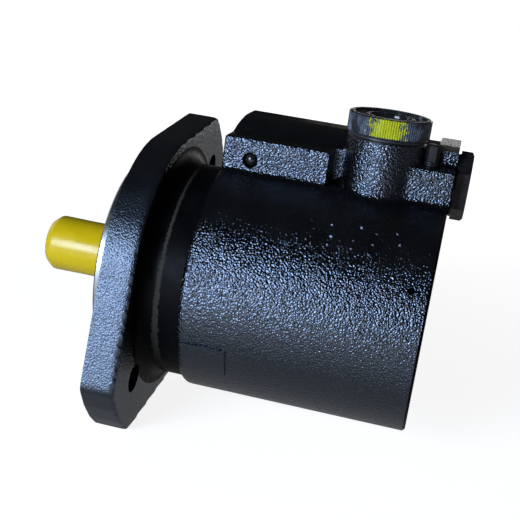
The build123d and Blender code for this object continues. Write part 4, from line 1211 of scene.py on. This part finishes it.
def rib_tree(material, family="GeometryNode"):
    """Node tree: upright round beads set evenly round a rim."""
    tree = bpy.data.node_groups.new("rim_ribs", "GeometryNodeTree")
    for name, kind in (("Count", "Int"), ("Rim Radius", "Float"), ("Rib Radius", "Float"),
                       ("Rib Height", "Float"), ("Centre", "Vector")):
        tree.interface.new_socket(name, in_out="INPUT", socket_type="NodeSocket" + kind)
    tree.interface.new_socket("Geometry", in_out="OUTPUT", socket_type="NodeSocketGeometry")
    given = tree.nodes.new("NodeGroupInput").outputs
    rim = node(tree, "MeshCircle", family, Vertices=given["Count"], Radius=given["Rim Radius"])
    bead = node(tree, "MeshCylinder", family, Vertices=rib_sides, Radius=given["Rib Radius"],
                Depth=given["Rib Height"])
    spots = node(tree, "InstanceOnPoints", family, Points=rim.outputs["Mesh"],
                 Instance=bead.outputs["Mesh"])
    lift = node(tree, "Transform", family, Geometry=spots.outputs["Instances"],
                Translation=given["Centre"])
    real = node(tree, "RealizeInstances", family, Geometry=lift.outputs["Geometry"])
    coated = node(tree, "SetMaterial", family, Geometry=real.outputs["Geometry"], Material=material)
    feed(tree.nodes.new("NodeGroupOutput").inputs["Geometry"], coated.outputs["Geometry"])
    return tree


moulding = moulded_black()
plug_body = turned("plug_body", [
    (socket_floor, 0), (socket_floor, socket_radius - lip_edge), (socket_floor + lip_edge, socket_radius),
    (recess_floor - lip_edge, socket_radius), (recess_floor, socket_radius + lip_edge),
    (recess_floor, ring_bore_radius), (ring_top - lip_edge, ring_bore_radius),
    (ring_top, ring_bore_radius + lip_edge), (ring_top, ring_radius - lip_edge),
    (ring_top - lip_edge, ring_radius), (recess_floor, ring_radius),
    (recess_floor, rim_bore_radius), (head_top - lip_edge, rim_bore_radius),
    (head_top, rim_bore_radius + lip_edge), (head_top, rim_radius - rim_edge),
    (head_top - rim_edge, rim_radius), (head_bottom + rim_edge, rim_radius),
    (head_bottom, rim_radius - rim_edge), (head_bottom, stub_root), (stub_top, stub_root),
    *reversed(thread(head_low[2] + thread_lead, stub_top, stub_radius, stub_root)),
    (head_low[2], stub_root), (head_low[2], 0)], 144, inlet_centre, "Z")
plug_body.materials.append(moulding)
ribs = placed("rim_ribs", bpy.data.meshes.new("rim_ribs"))
beading = ribs.modifiers.new("beads", "NODES")
beading.node_group = rib_tree(moulding)
rib_sizes = {"Count": rib_count, "Rim Radius": rim_radius, "Rib Radius": rib_radius,
             "Rib Height": head_top - head_bottom - 2 * rim_edge,
             "Centre": (inlet_x, inlet_y, (head_top + head_bottom) / 2)}
for item in beading.node_group.interface.items_tree:
    if item.in_out == "INPUT":
        beading[item.identifier] = rib_sizes[item.name]
baked(ribs)
inlet_plug = placed("inlet_shipping_plug", joined("inlet_shipping_plug", [plug_body, ribs.data]))
inlet_plug.data.materials.append(moulding)
bpy.data.objects.remove(ribs)
crisp(inlet_plug)
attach(inlet_plug, "inlet_plug")
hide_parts("inlet_plug")


# --- Shaft cap ---------------------------------------------------------------------------
# A soft yellow polythene cap pushed over the drive teeth for transport: thin wall, bevelled
# closed end, a slightly rolled mouth and the small witness of the moulding gate on its end.
cap_low, cap_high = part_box("shaft_cap")
cap_end, cap_mouth = cap_low[0], cap_high[0]
cap_radius = cap_high[2]
cap_bore_radius = 0.009605
cap_bore_end = -0.0386
cap_bevel_end = cap_end + 0.0030
cap_bevel_radius = cap_radius - 0.0022
cap_soft = 0.0007
cap_waist = 0.00012
gate_radius = 0.0012
gate_depth = 0.0002


def polythene():
    """Glossy yellow polythene, waxy, a little deeper in colour in random patches."""
    material, tree, moulded = shader("yellow_polythene", Specular_IOR_Level=0.45, Coat_Weight=0.15,
                                     Coat_Roughness=0.15)
    waxy = noise(tree, 130, 3.0, 0.5)
    mottle(moulded, waxy, (0.80, 0.545, 0.003), (0.88, 0.61, 0.010))
    gloss(moulded, waxy, 0.22, 0.32)
    ripple = bump(moulded, noise(tree, 160, 2.0, 0.4), 0.0001)
    bump(moulded, noise(tree, 1500, 2.0, 0.4), 0.00001, under=ripple)
    return material


# From the gate's dimple over the softened bevel to the waist, the mouth and the bore
shaft_cap = placed("shaft_transport_cap", turned("shaft_transport_cap", [
    (cap_end + gate_depth, 0), (cap_end + gate_depth, gate_radius), (cap_end, gate_radius + gate_depth),
    (cap_end, cap_bevel_radius - cap_soft), (cap_end + cap_soft / 3, cap_bevel_radius - cap_soft / 4),
    (cap_end + cap_soft, cap_bevel_radius + cap_soft / 3),
    (cap_bevel_end - cap_soft / 2, cap_radius - cap_soft / 2),
    (cap_bevel_end, cap_radius - cap_soft / 5), (cap_bevel_end + cap_soft, cap_radius),
    ((cap_end + cap_mouth) / 2, cap_radius - cap_waist), (cap_mouth - cap_soft, cap_radius),
    (cap_mouth - cap_soft / 4, cap_radius - cap_soft / 4), (cap_mouth, cap_radius - cap_soft),
    (cap_mouth, cap_bore_radius), (cap_bore_end, cap_bore_radius), (cap_bore_end, 0)], 128))
shaft_cap.data.materials.append(polythene())
crisp(shaft_cap)
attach(shaft_cap, "shaft_cap")
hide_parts("shaft_cap")
